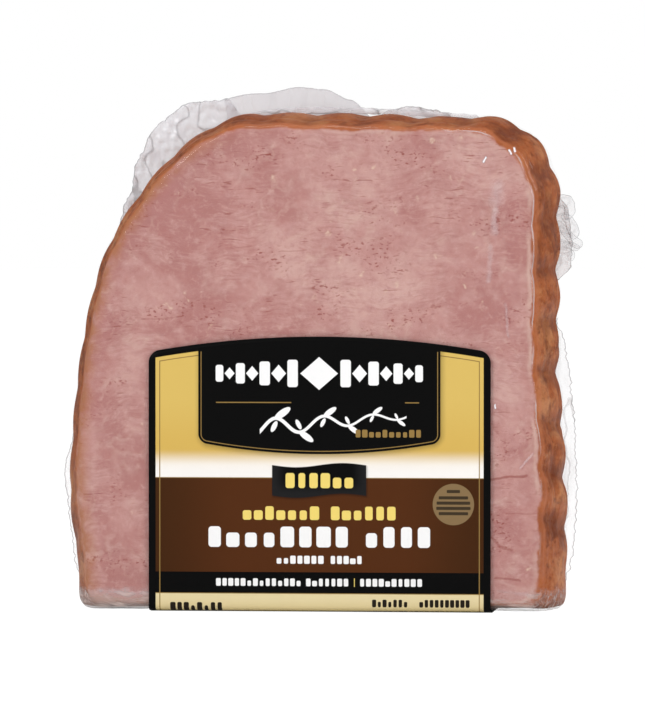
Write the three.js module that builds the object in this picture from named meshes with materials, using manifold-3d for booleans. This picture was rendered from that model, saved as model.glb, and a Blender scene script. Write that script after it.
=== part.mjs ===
// A slab of boneless smoked ham, cut from the log and sealed in a clear shrink bag, standing on its edge
// with the cut face forward. The bag's end seals and spare film stand out as a thin fin round the back of
// the slab, and a printed label runs down the face, round the bottom edge and under the base.
// Millimetres, +Z up, the cut face towards -Y, the origin under the middle of the whole pack.
import * as THREE from "three";
import { ParametricGeometry } from "three/addons/geometries/ParametricGeometry.js";
import { mergeVertices } from "three/addons/utils/BufferGeometryUtils.js";
import Module from "manifold-3d";

// The label, which the pack stands on.
const LABEL_WIDTH = 98;
const LABEL_TOP = 78.8; // height of the middle of its arched top edge
const LABEL_ARCH = 4.4; // how far the arch has dropped at the two sides
const LABEL_CORNER = 3;
const LABEL_THICKNESS = 0.4;
const LABEL_GAP = 0.3; // between the label and the film
const LABEL_TAIL = 42; // how far behind the face the label ends, under the base

// The outline of the slab in its tight film, seen from the front.
const BASE = LABEL_GAP + LABEL_THICKNESS; // height of the flat underside
const SAG = 1.4; // how far the round underside would hang below the flat one
const HEEL = { left: -72.9, right: 68.6, corner: 5 };
const LEFT_BELLY = { x: -75.8, z: 36 };
const RIGHT_BELLY = { x: 69.5, z: 29 };
const SHOULDER = { x: -63.9, z: 106 }; // where the left side leans over
const SHOULDER_SLOPE = { x: 9.1, z: 18 };
const TOP = 143.6;
const TOP_LEFT = -20.5;
const TOP_DIP = 1; // how much lower the top is on the right
const CREST = 44; // where the top right corner starts
const CHEEK = 67; // the upright right side
const CHEEK_TOP = 119;
const CHEEK_FOOT = 76;

// Its depth, from the front cut face to the back one. The cut faces are smaller copies of the outline.
const DEPTH = 54;
const WIDEST = 3; // how far behind the middle the slab is widest
const MIDDLE = { x: 0, z: 86 }; // what the outline shrinks towards
const FRONT_INSET = 0.08; // share of the outline by which a cut face is smaller than the widest ring
const BACK_INSET = 0.095;
const EDGE_RADIUS = 1.4; // of the cut edges under the film
const SQUARE_BASE = 0.7; // how much squarer the film makes the underside, 1 being square

// The lobes that the smoking net leaves round the rim, deepest on the right.
const LOBES = 35;
const LOBE_DEPTH = { right: 1.3, left: 0.5 };
const LOBE_FADE = { from: 6, to: 24 }; // heights between which the lobes fade in above the base
const FACE_LOBES = 0.5; // share of their depth that reaches the cut faces' edges

// The fin of spare film. Bearings are degrees from +X round the hub, anticlockwise as seen from the front.
const HUB = { x: 0, z: 72 };
const FIN_DEPTH = 11; // how far behind the middle it stands
const FIN_ROOT = 7; // how deep it starts inside the slab
const FIN_HIDDEN = 2.4; // how far its edge stays inside where nothing shows
const FIN_THICKNESS = 1.1;
const FIN_SWAY = 0.16; // sideways, for each millimetre that it stands out
const FIN_WAVES = 19;

// Each flap's free edge: bearings, and how far it stands out from the slab's outline there.
const FLAPS = [
  {
    name: "right end seal",
    bulk: 0,
    edge: [[-47, -1], [-39, 2], [-28, 2.6], [-15, 3.1], [-5, 2.7], [3, 1.6], [10, -1]],
  },
  {
    name: "right gather",
    bulk: 2.6,
    edge: [[18, -1], [22, 5.8], [25, 5.6], [28, 3.8], [32, 3], [36, -1]],
  },
  {
    name: "top ruffle",
    bulk: 0,
    edge: [[62, -1], [67, 2], [72, 3], [77, 1.6], [80, -1]],
  },
  {
    name: "top flap",
    bulk: 0,
    edge: [[80, -1], [86, 4.5], [92, 7.4], [98, 8], [106, 6.2], [114, 6.4], [120, 6.6]],
  },
  {
    name: "shoulder flap",
    bulk: 0,
    edge: [[112, 6], [121, 11.2], [128, 11.2], [134, 8.6], [142, 4.2], [152, 1.4], [160, -1]],
  },
  {
    name: "left end seal",
    bulk: 0,
    edge: [[190, -1], [197, 2.2], [204, 4], [212, 3.3], [219, 3.6], [226, -1]],
  },
];

// Facets.
const STEPS_PER_LOBE = 4;
const SLICES = LOBES * STEPS_PER_LOBE; // round the outline
const FACE_STEPS = 2; // from the middle of a cut face to its edge
const EDGE_STEPS = 2; // round the cut edge
const RIM_STEPS = 5; // from the cut edge to the widest ring
const LABEL_COLUMNS = 20;
const LABEL_ROWS = 10;

const wasm = await Module();
wasm.setup();

const { lerp, smoothstep } = THREE.MathUtils;

// The outline of the widest ring, anticlockwise from the middle of the base as seen from the front.
function slabOutline() {
  const floor = BASE - SAG;
  const crest = TOP - TOP_DIP;
  const path = new THREE.Path();
  path.moveTo(0, floor);
  path.lineTo(HEEL.right - HEEL.corner, floor);
  path.quadraticCurveTo(HEEL.right, floor, HEEL.right, floor + HEEL.corner);
  path.bezierCurveTo(HEEL.right, 14, RIGHT_BELLY.x, 21, RIGHT_BELLY.x, RIGHT_BELLY.z);
  path.bezierCurveTo(RIGHT_BELLY.x, 44, CHEEK + 0.4, 54, CHEEK, CHEEK_FOOT);
  path.lineTo(CHEEK, CHEEK_TOP);
  path.bezierCurveTo(CHEEK, 131.5, 58, crest, CREST, crest);
  path.bezierCurveTo(25.5, crest, 15, TOP, TOP_LEFT, TOP);
  const lean = SHOULDER_SLOPE;
  path.bezierCurveTo(-37.6, TOP, SHOULDER.x + lean.x, SHOULDER.z + lean.z, SHOULDER.x, SHOULDER.z);
  path.bezierCurveTo(SHOULDER.x - lean.x, SHOULDER.z - lean.z, LEFT_BELLY.x, 46, LEFT_BELLY.x, LEFT_BELLY.z);
  path.bezierCurveTo(LEFT_BELLY.x, 22, HEEL.left, 16, HEEL.left, floor + HEEL.corner);
  path.quadraticCurveTo(HEEL.left, floor, HEEL.left + HEEL.corner, floor);
  path.lineTo(0, floor);
  return path.getSpacedPoints(SLICES);
}

// The outline's stations: where each is, its outward normal, its bearing and the strength of its lobes.
function outlineStations() {
  const points = slabOutline();
  return points.map((point, i) => {
    const before = points[(i + SLICES - 1) % SLICES];
    const after = points[(i + 1) % SLICES];
    const along = new THREE.Vector2().subVectors(after, before).normalize();
    const bearing = THREE.MathUtils.radToDeg(Math.atan2(point.y - HUB.z, point.x - HUB.x));
    const depth = lerp(LOBE_DEPTH.left, LOBE_DEPTH.right, (1 + along.y) / 2);
    const lobe = Math.abs(Math.sin((Math.PI * i) / STEPS_PER_LOBE));
    const dent = depth * (1 - lobe) * smoothstep(point.y, LOBE_FADE.from, LOBE_FADE.to);
    return { x: point.x, z: point.y, nx: along.y, nz: -along.x, bearing, dent };
  });
}

// The rings from the middle of the back face to the middle of the front one: depth, the share by which the
// outline shrinks towards the middle, and how much of the lobes shows. The rim bulges as a parabola.
function slabRings() {
  const half = (face, inset) => {
    const ringAt = (y, extra) => {
      const deep = (y - WIDEST) / (face - WIDEST);
      return { y, shrink: inset * deep ** 2 + extra, lobes: lerp(1, FACE_LOBES, deep ** 4) };
    };
    const rounding = EDGE_RADIUS / HUB.z;
    const edgeY = face - Math.sign(face) * EDGE_RADIUS;
    const rings = [];
    for (let i = 0; i < FACE_STEPS; i++) {
      rings.push({ y: face, shrink: lerp(1, inset + rounding, i / FACE_STEPS), lobes: 0 });
    }
    for (let i = 0; i < EDGE_STEPS; i++) {
      const angle = (Math.PI / 2) * (i / EDGE_STEPS);
      rings.push(ringAt(lerp(edgeY, face, Math.cos(angle)), rounding * (1 - Math.sin(angle))));
    }
    for (let i = 0; i <= RIM_STEPS; i++) {
      rings.push(ringAt(lerp(edgeY, WIDEST, i / RIM_STEPS), 0));
    }
    return rings;
  };
  const front = half(-DEPTH / 2, FRONT_INSET).reverse();
  return [...half(DEPTH / 2, BACK_INSET), ...front.slice(1)];
}

// Where a point of the outline lies on a ring that shrinks it. The base shrinks less than the rest.
function shrunk(x, z, down, shrink) {
  const height = lerp(z, MIDDLE.z, shrink === 1 ? 1 : shrink * (1 - SQUARE_BASE * down));
  return { x: lerp(x, MIDDLE.x, shrink), z: Math.max(BASE, height) };
}

// A closed geometry as a manifold solid, its vertices merged and its collapsed triangles dropped.
function solidOf(geometry) {
  geometry.deleteAttribute("normal");
  geometry.deleteAttribute("uv");
  const merged = mergeVertices(geometry, 1e-3);
  const corners = merged.index.array;
  const kept = [];
  for (let i = 0; i < corners.length; i += 3) {
    const [a, b, c] = corners.subarray(i, i + 3);
    if (a !== b && b !== c && c !== a) {
      kept.push(a, b, c);
    }
  }
  const vertProperties = merged.getAttribute("position").array;
  return new wasm.Manifold(new wasm.Mesh({ numProp: 3, vertProperties, triVerts: new Uint32Array(kept) }));
}

// A manifold solid as a three.js geometry.
function geometryOf(solid) {
  const mesh = solid.getMesh();
  const geometry = new THREE.BufferGeometry();
  geometry.setAttribute("position", new THREE.BufferAttribute(mesh.vertProperties, mesh.numProp));
  geometry.setIndex(new THREE.BufferAttribute(mesh.triVerts, 1));
  geometry.computeVertexNormals();
  return geometry;
}

// The slab: each ring is the outline, dented by the net, shrunk towards the middle and kept above the base.
function slabSolid(stations) {
  const rings = slabRings();
  const place = (u, v, target) => {
    const station = stations[Math.round(u * SLICES) % SLICES];
    const ring = rings[Math.round(v * (rings.length - 1))];
    const dent = station.dent * ring.lobes;
    const down = Math.max(0, -station.nz);
    const point = shrunk(station.x - station.nx * dent, station.z - station.nz * dent, down, ring.shrink);
    target.set(point.x, ring.y, point.z);
  };
  return solidOf(new ParametricGeometry(place, SLICES, rings.length - 1));
}

// How far a flap's free edge stands out at a bearing: eased between its points, and hidden beyond its ends.
function reachOf(flap, bearing) {
  const start = flap.edge[0][0];
  const at = start + THREE.MathUtils.euclideanModulo(bearing - start, 360);
  const next = flap.edge.findIndex(([from]) => from > at);
  if (next < 1) {
    return -FIN_HIDDEN;
  }
  const [[from, reach], [to, nextReach]] = flap.edge.slice(next - 1, next + 1);
  return lerp(reach, nextReach, smoothstep(at, from, to));
}

// How far the fin's edge stands out from the outline at a bearing, and how thick the fin is there.
function finAt(bearing) {
  const flap = FLAPS.reduce((best, each) => (reachOf(each, bearing) > reachOf(best, bearing) ? each : best));
  const reach = reachOf(flap, bearing);
  return { reach, thickness: FIN_THICKNESS + (flap.bulk * Math.max(0, reach)) / 6 };
}

// The fin: a thin closed ring, rooted inside the slab, that sways more the further it stands out.
function finSolid(stations) {
  const section = [
    { out: 0, side: 1 },
    { out: 0.6, side: 1 },
    { out: 1, side: 0.5 },
    { out: 1, side: -0.5 },
    { out: 0.6, side: -1 },
    { out: 0, side: -1 },
  ];
  const place = (u, v, target) => {
    const turn = Math.round(u * SLICES) % SLICES;
    const station = stations[turn];
    const corner = section[Math.round(v * section.length) % section.length];
    const { reach, thickness } = finAt(station.bearing);
    const out = lerp(-FIN_ROOT, reach, corner.out);
    const sway = Math.max(0, out) * FIN_SWAY * Math.cos((2 * Math.PI * FIN_WAVES * turn) / SLICES);
    const y = FIN_DEPTH + sway + (corner.side * thickness) / 2;
    target.set(station.x + station.nx * out, y, Math.max(BASE + 1, station.z + station.nz * out));
  };
  return solidOf(new ParametricGeometry(place, SLICES, section.length));
}

// The way that the label follows across the slab: down the face, round the rim and back under the base.
// Each point has the film's outward normal there, and its run from the top of the label.
function labelPath() {
  const floor = BASE - SAG;
  const rim = slabRings()
    .filter((ring) => ring.lobes > 0 && ring.y < WIDEST)
    .map((ring) => new THREE.Vector2(ring.y, shrunk(0, floor, 1, ring.shrink).z))
    .reverse();
  const bend = rim.slice(0, rim.findIndex((point) => point.y <= BASE) + 1);
  const face = -DEPTH / 2;
  const way = [new THREE.Vector2(face, LABEL_TOP), ...bend, new THREE.Vector2(face + LABEL_TAIL, BASE)];
  let run = 0;
  return way.map((point, i) => {
    const before = way[Math.max(0, i - 1)];
    const after = way[Math.min(way.length - 1, i + 1)];
    const arriving = new THREE.Vector2().subVectors(point, before).normalize();
    const leaving = new THREE.Vector2().subVectors(after, point).normalize();
    const along = arriving.add(leaving).normalize();
    run += point.distanceTo(before);
    return { y: point.x, z: point.y, ny: along.y, nz: -along.x, run };
  });
}

// The label: a thin box whose rows follow the path, with an arched top edge and rounded top corners.
function labelGeometry() {
  const path = labelPath();
  const half = LABEL_WIDTH / 2;
  const flatRows = 2; // on the face, and again under the base; the other rows share the bend
  const stops = [path[1].run, path.at(-2).run, path.at(-1).run];
  const runOf = (row, top) => {
    if (row <= flatRows) {
      return lerp(top, stops[0], row / flatRows);
    }
    const left = LABEL_ROWS - row;
    if (left <= flatRows) {
      return lerp(stops[2], stops[1], left / flatRows);
    }
    return lerp(stops[0], stops[1], (row - flatRows) / (LABEL_ROWS - 2 * flatRows));
  };
  const onPath = (run) => {
    const next = path.findIndex((point) => point.run > run);
    const i = next < 1 ? path.length - 2 : next - 1;
    const share = (run - path[i].run) / (path[i + 1].run - path[i].run);
    const between = (key) => lerp(path[i][key], path[i + 1][key], share);
    return { y: between("y"), z: between("z"), ny: between("ny"), nz: between("nz") };
  };
  const sheet = new THREE.BoxGeometry(1, LABEL_ROWS, LABEL_THICKNESS, LABEL_COLUMNS, LABEL_ROWS, 1);
  const places = sheet.getAttribute("position");
  for (let i = 0; i < places.count; i++) {
    const x = half * Math.sin(Math.PI * places.getX(i));
    const corner = Math.max(0, Math.abs(x) - half + LABEL_CORNER);
    const rounding = LABEL_CORNER - Math.sqrt(LABEL_CORNER ** 2 - corner ** 2);
    const top = LABEL_ARCH * (x / half) ** 2 + rounding;
    const point = onPath(runOf(Math.round(LABEL_ROWS / 2 - places.getY(i)), top));
    const lift = LABEL_GAP + LABEL_THICKNESS / 2 + places.getZ(i);
    places.setXYZ(i, x, point.y + point.ny * lift, point.z + point.nz * lift);
  }
  return geometryOf(solidOf(sheet));
}

const film = new THREE.MeshStandardMaterial({ color: 0xc09390, roughness: 0.25, metalness: 0 });
const printed = new THREE.MeshStandardMaterial({ color: 0x6b3f1f, roughness: 0.4, metalness: 0 });

const stations = outlineStations();
const bag = new THREE.Mesh(geometryOf(slabSolid(stations).add(finSolid(stations))), film);
bag.name = "sealed_bag";
const label = new THREE.Mesh(labelGeometry(), printed);
label.name = "label";

const pack = new THREE.Group();
pack.add(bag, label);

// The pack stands on z = 0 with the middle of its box over the origin.
const bounds = new THREE.Box3().setFromObject(pack, true);
pack.position.set(-(bounds.min.x + bounds.max.x) / 2, -(bounds.min.y + bounds.max.y) / 2, -bounds.min.z);

export default pack;
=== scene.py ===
"""A slab of smoked ham in a clear shrink bag, standing on its edge behind a printed label.

The slab is cut flat front and back. Between the cuts its rim bulges and keeps the brown smoked rind and
the lobes that the cooking net pressed into it. A tight clear film covers everything and ends, round the
back half of the rim, in end seals, a bunched gather and loose flaps. A printed label lies on the film,
runs down the front, round the lower edge and under the base, and carries the pack.

Sizes are metres: each is written in millimetres times MM.
"""

import logging
import math
from dataclasses import dataclass, field
from enum import Enum

import bpy
import numpy as np
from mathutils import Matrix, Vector


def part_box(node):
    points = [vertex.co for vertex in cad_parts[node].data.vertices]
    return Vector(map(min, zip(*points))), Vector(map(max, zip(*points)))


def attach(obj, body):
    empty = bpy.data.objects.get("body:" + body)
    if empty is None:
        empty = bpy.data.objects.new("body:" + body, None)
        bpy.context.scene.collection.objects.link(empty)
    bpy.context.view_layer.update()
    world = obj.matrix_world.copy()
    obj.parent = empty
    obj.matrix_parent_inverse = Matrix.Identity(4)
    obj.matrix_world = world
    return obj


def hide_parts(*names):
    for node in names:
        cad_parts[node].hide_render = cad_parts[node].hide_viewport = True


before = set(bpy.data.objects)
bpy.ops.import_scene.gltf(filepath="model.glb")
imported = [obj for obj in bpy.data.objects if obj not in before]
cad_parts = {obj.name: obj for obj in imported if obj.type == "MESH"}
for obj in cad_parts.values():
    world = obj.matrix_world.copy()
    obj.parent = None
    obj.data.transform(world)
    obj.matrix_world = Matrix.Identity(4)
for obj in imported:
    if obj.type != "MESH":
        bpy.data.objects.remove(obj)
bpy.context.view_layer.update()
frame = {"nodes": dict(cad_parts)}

MM = 0.001
LOG = logging.getLogger("ham_pack")

Point = tuple[float, float]
Colour = tuple[float, float, float]


class Slot(Enum):
    """The record's material slots."""

    HAM = "film_over_ham"
    FILM = "clear_film"
    LABEL = "printed_label"


# ---------------------------------------------------------------------------------------------------------
# Numbers and meshes
# ---------------------------------------------------------------------------------------------------------


def smoothstep(low: float, high: float, value: np.ndarray) -> np.ndarray:
    """Eases from 0 at low to 1 at high: 3t^2 - 2t^3, where t is the clipped share of the way.

    Args:
        low: Where the step starts.
        high: Where it ends.
        value: The numbers to ease.

    Returns:
        The eased shares, shaped like value.
    """
    t = np.clip((value - low) / (high - low), 0.0, 1.0)
    return t * t * (3.0 - 2.0 * t)


def lerp(a: np.ndarray, b: np.ndarray, share: np.ndarray) -> np.ndarray:
    """Returns a plus share of the way from a to b."""
    return a + (b - a) * share


def wave_noise(points: np.ndarray, wavelength: float, seed: int, waves: int = 28) -> np.ndarray:
    """Smooth noise, mostly between -1 and 1: a sum of sine waves in random directions.

    Args:
        points: Places, as an array whose last axis is x, y, z.
        wavelength: The middle wavelength; each wave's own is 0.7 to 1.5 times it.
        seed: Chooses the waves.
        waves: How many are summed.

    Returns:
        One number for each point.
    """
    rng = np.random.default_rng(seed)
    total = np.zeros(points.shape[:-1])
    for _ in range(waves):
        direction = rng.normal(size=3)
        direction *= 2.0 * math.pi / (np.linalg.norm(direction) * wavelength * rng.uniform(0.7, 1.5))
        total += np.sin(points @ direction + rng.uniform(0.0, 2.0 * math.pi))
    return total / math.sqrt(waves)


def signed_volume(points: np.ndarray, faces: list[tuple[int, ...]]) -> float:
    """The volume a closed mesh holds, negative if its faces point inwards.

    Each face is cut into triangles from its first corner, and each triangle adds a sixth of the box
    product of its corners.
    """
    quads = np.array([face if len(face) == 4 else (*face, face[2]) for face in faces])
    a, b, c, d = (points[quads[:, k]] for k in range(4))
    first = np.einsum("ij,ij->i", a, np.cross(b, c)).sum()
    second = np.einsum("ij,ij->i", a, np.cross(c, d)).sum()
    return float(first + second) / 6.0


@dataclass
class Surface:
    """A mesh as it is worked out: its points, faces, and values that its material reads.

    Attributes:
        points: One row of x, y, z for each point.
        faces: Corner numbers, three or four to a face.
        values: Named attributes, one number for each point.
        chart: The UV map in metres, one row of u, v for each point, or None.
    """

    points: np.ndarray
    faces: list[tuple[int, ...]]
    values: dict[str, np.ndarray] = field(default_factory=dict)
    chart: np.ndarray | None = None

    def make(self, name: str) -> bpy.types.Object:
        """Makes the Blender object, with its faces outwards and smooth.

        Args:
            name: The piece's name.

        Returns:
            The new object, at the origin.
        """
        if signed_volume(self.points, self.faces) < 0.0:
            self.faces = [face[::-1] for face in self.faces]
        mesh = bpy.data.meshes.new(name)
        mesh.from_pydata(self.points.tolist(), [], self.faces)
        mesh.polygons.foreach_set("use_smooth", np.ones(len(mesh.polygons), bool))
        for key, numbers in self.values.items():
            attribute = mesh.attributes.new(key, "FLOAT", "POINT")
            attribute.data.foreach_set("value", numbers.astype(np.float32).ravel())
        if self.chart is not None:
            corners = np.empty(len(mesh.loops), np.int32)
            mesh.loops.foreach_get("vertex_index", corners)
            layer = mesh.uv_layers.new(name="chart")
            layer.data.foreach_set("uv", self.chart[corners].astype(np.float32).ravel())
        mesh.update()
        piece = bpy.data.objects.new(name, mesh)
        bpy.context.scene.collection.objects.link(piece)
        return piece


def loft(rings: np.ndarray) -> Surface:
    """Closes a stack of closed rings with a pole in the middle of the first and of the last one.

    Args:
        rings: An array of rings, points round each ring, and x, y, z.

    Returns:
        The closed surface. Its last two points are the poles.
    """
    count, around = rings.shape[:2]
    grid = np.arange(count * around).reshape(count, around)
    following = np.roll(grid, -1, axis=1)
    sides = np.stack([grid[:-1], following[:-1], following[1:], grid[1:]], axis=-1).reshape(-1, 4)
    first, last = count * around, count * around + 1
    caps = [(first, b, a) for a, b in zip(grid[0].tolist(), following[0].tolist())]
    caps += [(last, a, b) for a, b in zip(grid[-1].tolist(), following[-1].tolist())]
    poles = np.stack([rings[0].mean(axis=0), rings[-1].mean(axis=0)])
    return Surface(np.concatenate([rings.reshape(-1, 3), poles]), [tuple(f) for f in sides.tolist()] + caps)


def thin_sheet(front: np.ndarray, back: np.ndarray) -> Surface:
    """Joins two grids of the same shape round all four edges into one closed thin sheet.

    Args:
        front: The front face's points, rows by columns by x, y, z.
        back: The back face's points.

    Returns:
        The closed surface, the front's points first.
    """
    rows, columns = front.shape[:2]
    near = np.arange(rows * columns).reshape(rows, columns)
    far = near + rows * columns

    def strip(a: np.ndarray, b: np.ndarray) -> np.ndarray:
        """The quads between two equal runs of points."""
        return np.stack([a[:-1], a[1:], b[1:], b[:-1]], axis=-1).reshape(-1, 4)

    parts = [
        np.stack([near[:-1, :-1], near[:-1, 1:], near[1:, 1:], near[1:, :-1]], axis=-1).reshape(-1, 4),
        np.stack([far[:-1, :-1], far[1:, :-1], far[1:, 1:], far[:-1, 1:]], axis=-1).reshape(-1, 4),
        strip(far[0], near[0]),
        strip(near[-1], far[-1]),
        strip(near[:, 0], far[:, 0]),
        strip(far[:, -1], near[:, -1]),
    ]
    faces = [tuple(f) for f in np.concatenate(parts).tolist()]
    return Surface(np.concatenate([front.reshape(-1, 3), back.reshape(-1, 3)]), faces)


def sheet_normals(grid: np.ndarray) -> np.ndarray:
    """Unit normals of a grid of points, from its differences along rows and columns."""
    across = np.gradient(grid, axis=1)
    down = np.gradient(grid, axis=0)
    normals = np.cross(across, down)
    return normals / np.maximum(np.linalg.norm(normals, axis=-1, keepdims=True), 1e-12)


# ---------------------------------------------------------------------------------------------------------
# Shader maths
# ---------------------------------------------------------------------------------------------------------


class Value:
    """A number in a node tree. Python's operators on it add Math nodes."""

    def __init__(self, tree: "Tree", socket: bpy.types.NodeSocket) -> None:
        """Wraps the socket that gives the number."""
        self.tree = tree
        self.socket = socket

    def math(self, operation: str, *others: "Value | float", swap: bool = False) -> "Value":
        """Adds one Math node.

        Args:
            operation: The Math node's operation.
            others: Its other inputs.
            swap: True to put this value second.

        Returns:
            The result.
        """
        inputs = [self, *others]
        if swap:
            inputs[0], inputs[1] = inputs[1], inputs[0]
        node = self.tree.node("ShaderNodeMath", {"operation": operation}, dict(enumerate(inputs)))
        return Value(self.tree, node.outputs[0])

    def __add__(self, other: "Value | float") -> "Value":
        """This value plus another."""
        return self.math("ADD", other)

    def __sub__(self, other: "Value | float") -> "Value":
        """This value minus another."""
        return self.math("SUBTRACT", other)

    def __rsub__(self, other: float) -> "Value":
        """A number minus this value."""
        return self.math("SUBTRACT", other, swap=True)

    def __mul__(self, other: "Value | float") -> "Value":
        """This value times another."""
        return self.math("MULTIPLY", other)

    def __truediv__(self, other: "Value | float") -> "Value":
        """This value divided by another."""
        return self.math("DIVIDE", other)

    def __pow__(self, other: "Value | float") -> "Value":
        """This value to a power."""
        return self.math("POWER", other)

    def __abs__(self) -> "Value":
        """This value without its sign."""
        return self.math("ABSOLUTE")

    __radd__ = __add__
    __rmul__ = __mul__

    def at_least(self, other: "Value | float") -> "Value":
        """The larger of this value and another."""
        return self.math("MAXIMUM", other)

    def at_most(self, other: "Value | float") -> "Value":
        """The smaller of this value and another."""
        return self.math("MINIMUM", other)

    def step(self, low: "Value | float", high: "Value | float") -> "Value":
        """Eases from 0 where this value is low to 1 where it is high."""
        settings = {"interpolation_type": "SMOOTHSTEP"}
        inputs = {"Value": self, "From Min": low, "From Max": high}
        return Value(self.tree, self.tree.node("ShaderNodeMapRange", settings, inputs).outputs[0])


class Tree:
    """One material's node tree."""

    def __init__(self, name: str) -> None:
        """Makes an empty material of that name."""
        self.material = bpy.data.materials.new(name)
        self.material.use_nodes = True
        self.nodes = self.material.node_tree.nodes
        self.links = self.material.node_tree.links
        self.nodes.clear()

    def node(self, kind: str, settings: dict | None = None, inputs: dict | None = None) -> bpy.types.Node:
        """Adds a node, makes its settings, then sets or links its sockets.

        Args:
            kind: The node's type.
            settings: Properties by name.
            inputs: Sockets by name or number: a Value, another node's socket, or a plain value.

        Returns:
            The node.
        """
        made = self.nodes.new(kind)
        for key, setting in (settings or {}).items():
            setattr(made, key, setting)
        for key, given in (inputs or {}).items():
            source = given.socket if isinstance(given, Value) else given
            if isinstance(source, bpy.types.NodeSocket):
                self.links.new(source, made.inputs[key])
            elif isinstance(source, tuple) and len(source) == 3 and made.inputs[key].type == "RGBA":
                made.inputs[key].default_value = (*source, 1.0)
            else:
                made.inputs[key].default_value = source
        return made

    def place(self) -> bpy.types.NodeSocket:
        """The point in the pack's own frame, in millimetres."""
        own = self.node("ShaderNodeTexCoord").outputs["Object"]
        return self.scaled(own, (1.0 / MM, 1.0 / MM, 1.0 / MM))

    def scaled(self, vector: bpy.types.NodeSocket, by: tuple[float, float, float]) -> bpy.types.NodeSocket:
        """A vector times another, part by part."""
        return self.node("ShaderNodeVectorMath", {"operation": "MULTIPLY"}, {0: vector, 1: by}).outputs[0]

    def warped(self, vector: bpy.types.NodeSocket, by: float, size: float) -> bpy.types.NodeSocket:
        """A vector pushed about by noise.

        Args:
            vector: The place, in millimetres.
            by: How far noise may push it each way.
            size: The noise's size.

        Returns:
            The pushed place.
        """
        noise = self.node("ShaderNodeTexNoise", None, {"Vector": vector, "Scale": 1.0 / size, "Detail": 2.0})
        centred = self.node(
            "ShaderNodeVectorMath", {"operation": "SUBTRACT"}, {0: noise.outputs["Color"], 1: (0.5, 0.5, 0.5)}
        ).outputs[0]
        push = self.scaled(centred, (2.0 * by, 2.0 * by, 2.0 * by))
        return self.node("ShaderNodeVectorMath", {"operation": "ADD"}, {0: vector, 1: push}).outputs[0]

    def noise(
        self, vector: bpy.types.NodeSocket, size: float, detail: float = 3.0, rough: float = 0.5
    ) -> Value:
        """Noise from 0 to 1 whose features are about size across."""
        inputs = {"Vector": vector, "Scale": 1.0 / size, "Detail": detail, "Roughness": rough}
        return Value(self, self.node("ShaderNodeTexNoise", None, inputs).outputs["Fac"])

    def spots(self, vector: bpy.types.NodeSocket, size: float) -> tuple[Value, tuple[Value, Value, Value]]:
        """Scattered spots, about size apart.

        Args:
            vector: The place, in millimetres.
            size: How far apart the spots lie.

        Returns:
            The distance from the nearest spot, as a share of size, and that spot's three random numbers.
        """
        inputs = {"Vector": vector, "Scale": 1.0 / size, "Randomness": 1.0}
        cells = self.node("ShaderNodeTexVoronoi", None, inputs)
        return Value(self, cells.outputs["Distance"]), self.parts(cells.outputs["Color"])

    def parts(self, vector: bpy.types.NodeSocket) -> tuple[Value, Value, Value]:
        """A vector's x, y and z."""
        split = self.node("ShaderNodeSeparateXYZ", None, {0: vector})
        return tuple(Value(self, socket) for socket in split.outputs)

    def segment(self, vector: bpy.types.NodeSocket, start: Point, end: Point) -> Value:
        """How far a place is from a straight line across the front, looking along Y.

        The share of the way along is the dot product of the place from the start with the line, over the
        line's length squared, held between 0 and 1. The result is the distance to that point of the line.

        Args:
            vector: The place, in millimetres.
            start: Where the line starts, across and up.
            end: Where it ends.

        Returns:
            The distance in millimetres.
        """
        line = (end[0] - start[0], 0.0, end[1] - start[1])
        square = line[0] ** 2 + line[2] ** 2
        inputs = {0: vector, 1: (start[0], 0.0, start[1])}
        away = self.node("ShaderNodeVectorMath", {"operation": "SUBTRACT"}, inputs)
        across, _, up = self.parts(away.outputs[0])
        share = (across * (line[0] / square) + up * (line[2] / square)).at_least(0.0).at_most(1.0)
        return ((across - share * line[0]) ** 2.0 + (up - share * line[2]) ** 2.0) ** 0.5

    def attribute(self, name: str) -> Value:
        """A value that the mesh carries."""
        return Value(self, self.node("ShaderNodeAttribute", {"attribute_name": name}).outputs["Fac"])

    def blend(
        self,
        share: Value | float,
        a: bpy.types.NodeSocket | Colour,
        b: bpy.types.NodeSocket | Colour,
    ) -> bpy.types.NodeSocket:
        """Blends colour b over colour a.

        Args:
            share: How much of b.
            a: The colour below.
            b: The colour on top.

        Returns:
            The blended colour.
        """
        settings = {"data_type": "RGBA", "clamp_factor": True}
        return self.node("ShaderNodeMix", settings, {0: share, 6: a, 7: b}).outputs[2]

    def bump(self, height: Value, distance: float, strength: float = 1.0) -> bpy.types.NodeSocket:
        """A normal for a height from 0 to 1 that stands for distance metres."""
        inputs = {"Strength": strength, "Distance": distance, "Height": height}
        return self.node("ShaderNodeBump", None, inputs).outputs[0]

    def glance(self, normal: bpy.types.NodeSocket) -> Value:
        """How strongly a clear film mirrors at a glancing angle: 1 less the cosine, to the fifth power."""
        facing = self.node("ShaderNodeLayerWeight", None, {"Blend": 0.5, "Normal": normal}).outputs["Facing"]
        return Value(self, facing) ** 5.0

    def mixed(
        self, share: Value, under: bpy.types.NodeSocket, over: bpy.types.NodeSocket
    ) -> bpy.types.NodeSocket:
        """Mixes a share of one shader over another."""
        return self.node("ShaderNodeMixShader", None, {0: share, 1: under, 2: over}).outputs[0]

    def finish(self, shader: bpy.types.NodeSocket) -> bpy.types.Material:
        """Links the shader to the output and returns the material."""
        self.node("ShaderNodeOutputMaterial", None, {"Surface": shader})
        return self.material


# ---------------------------------------------------------------------------------------------------------
# The slab's form, the same as the design's
# ---------------------------------------------------------------------------------------------------------


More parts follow.
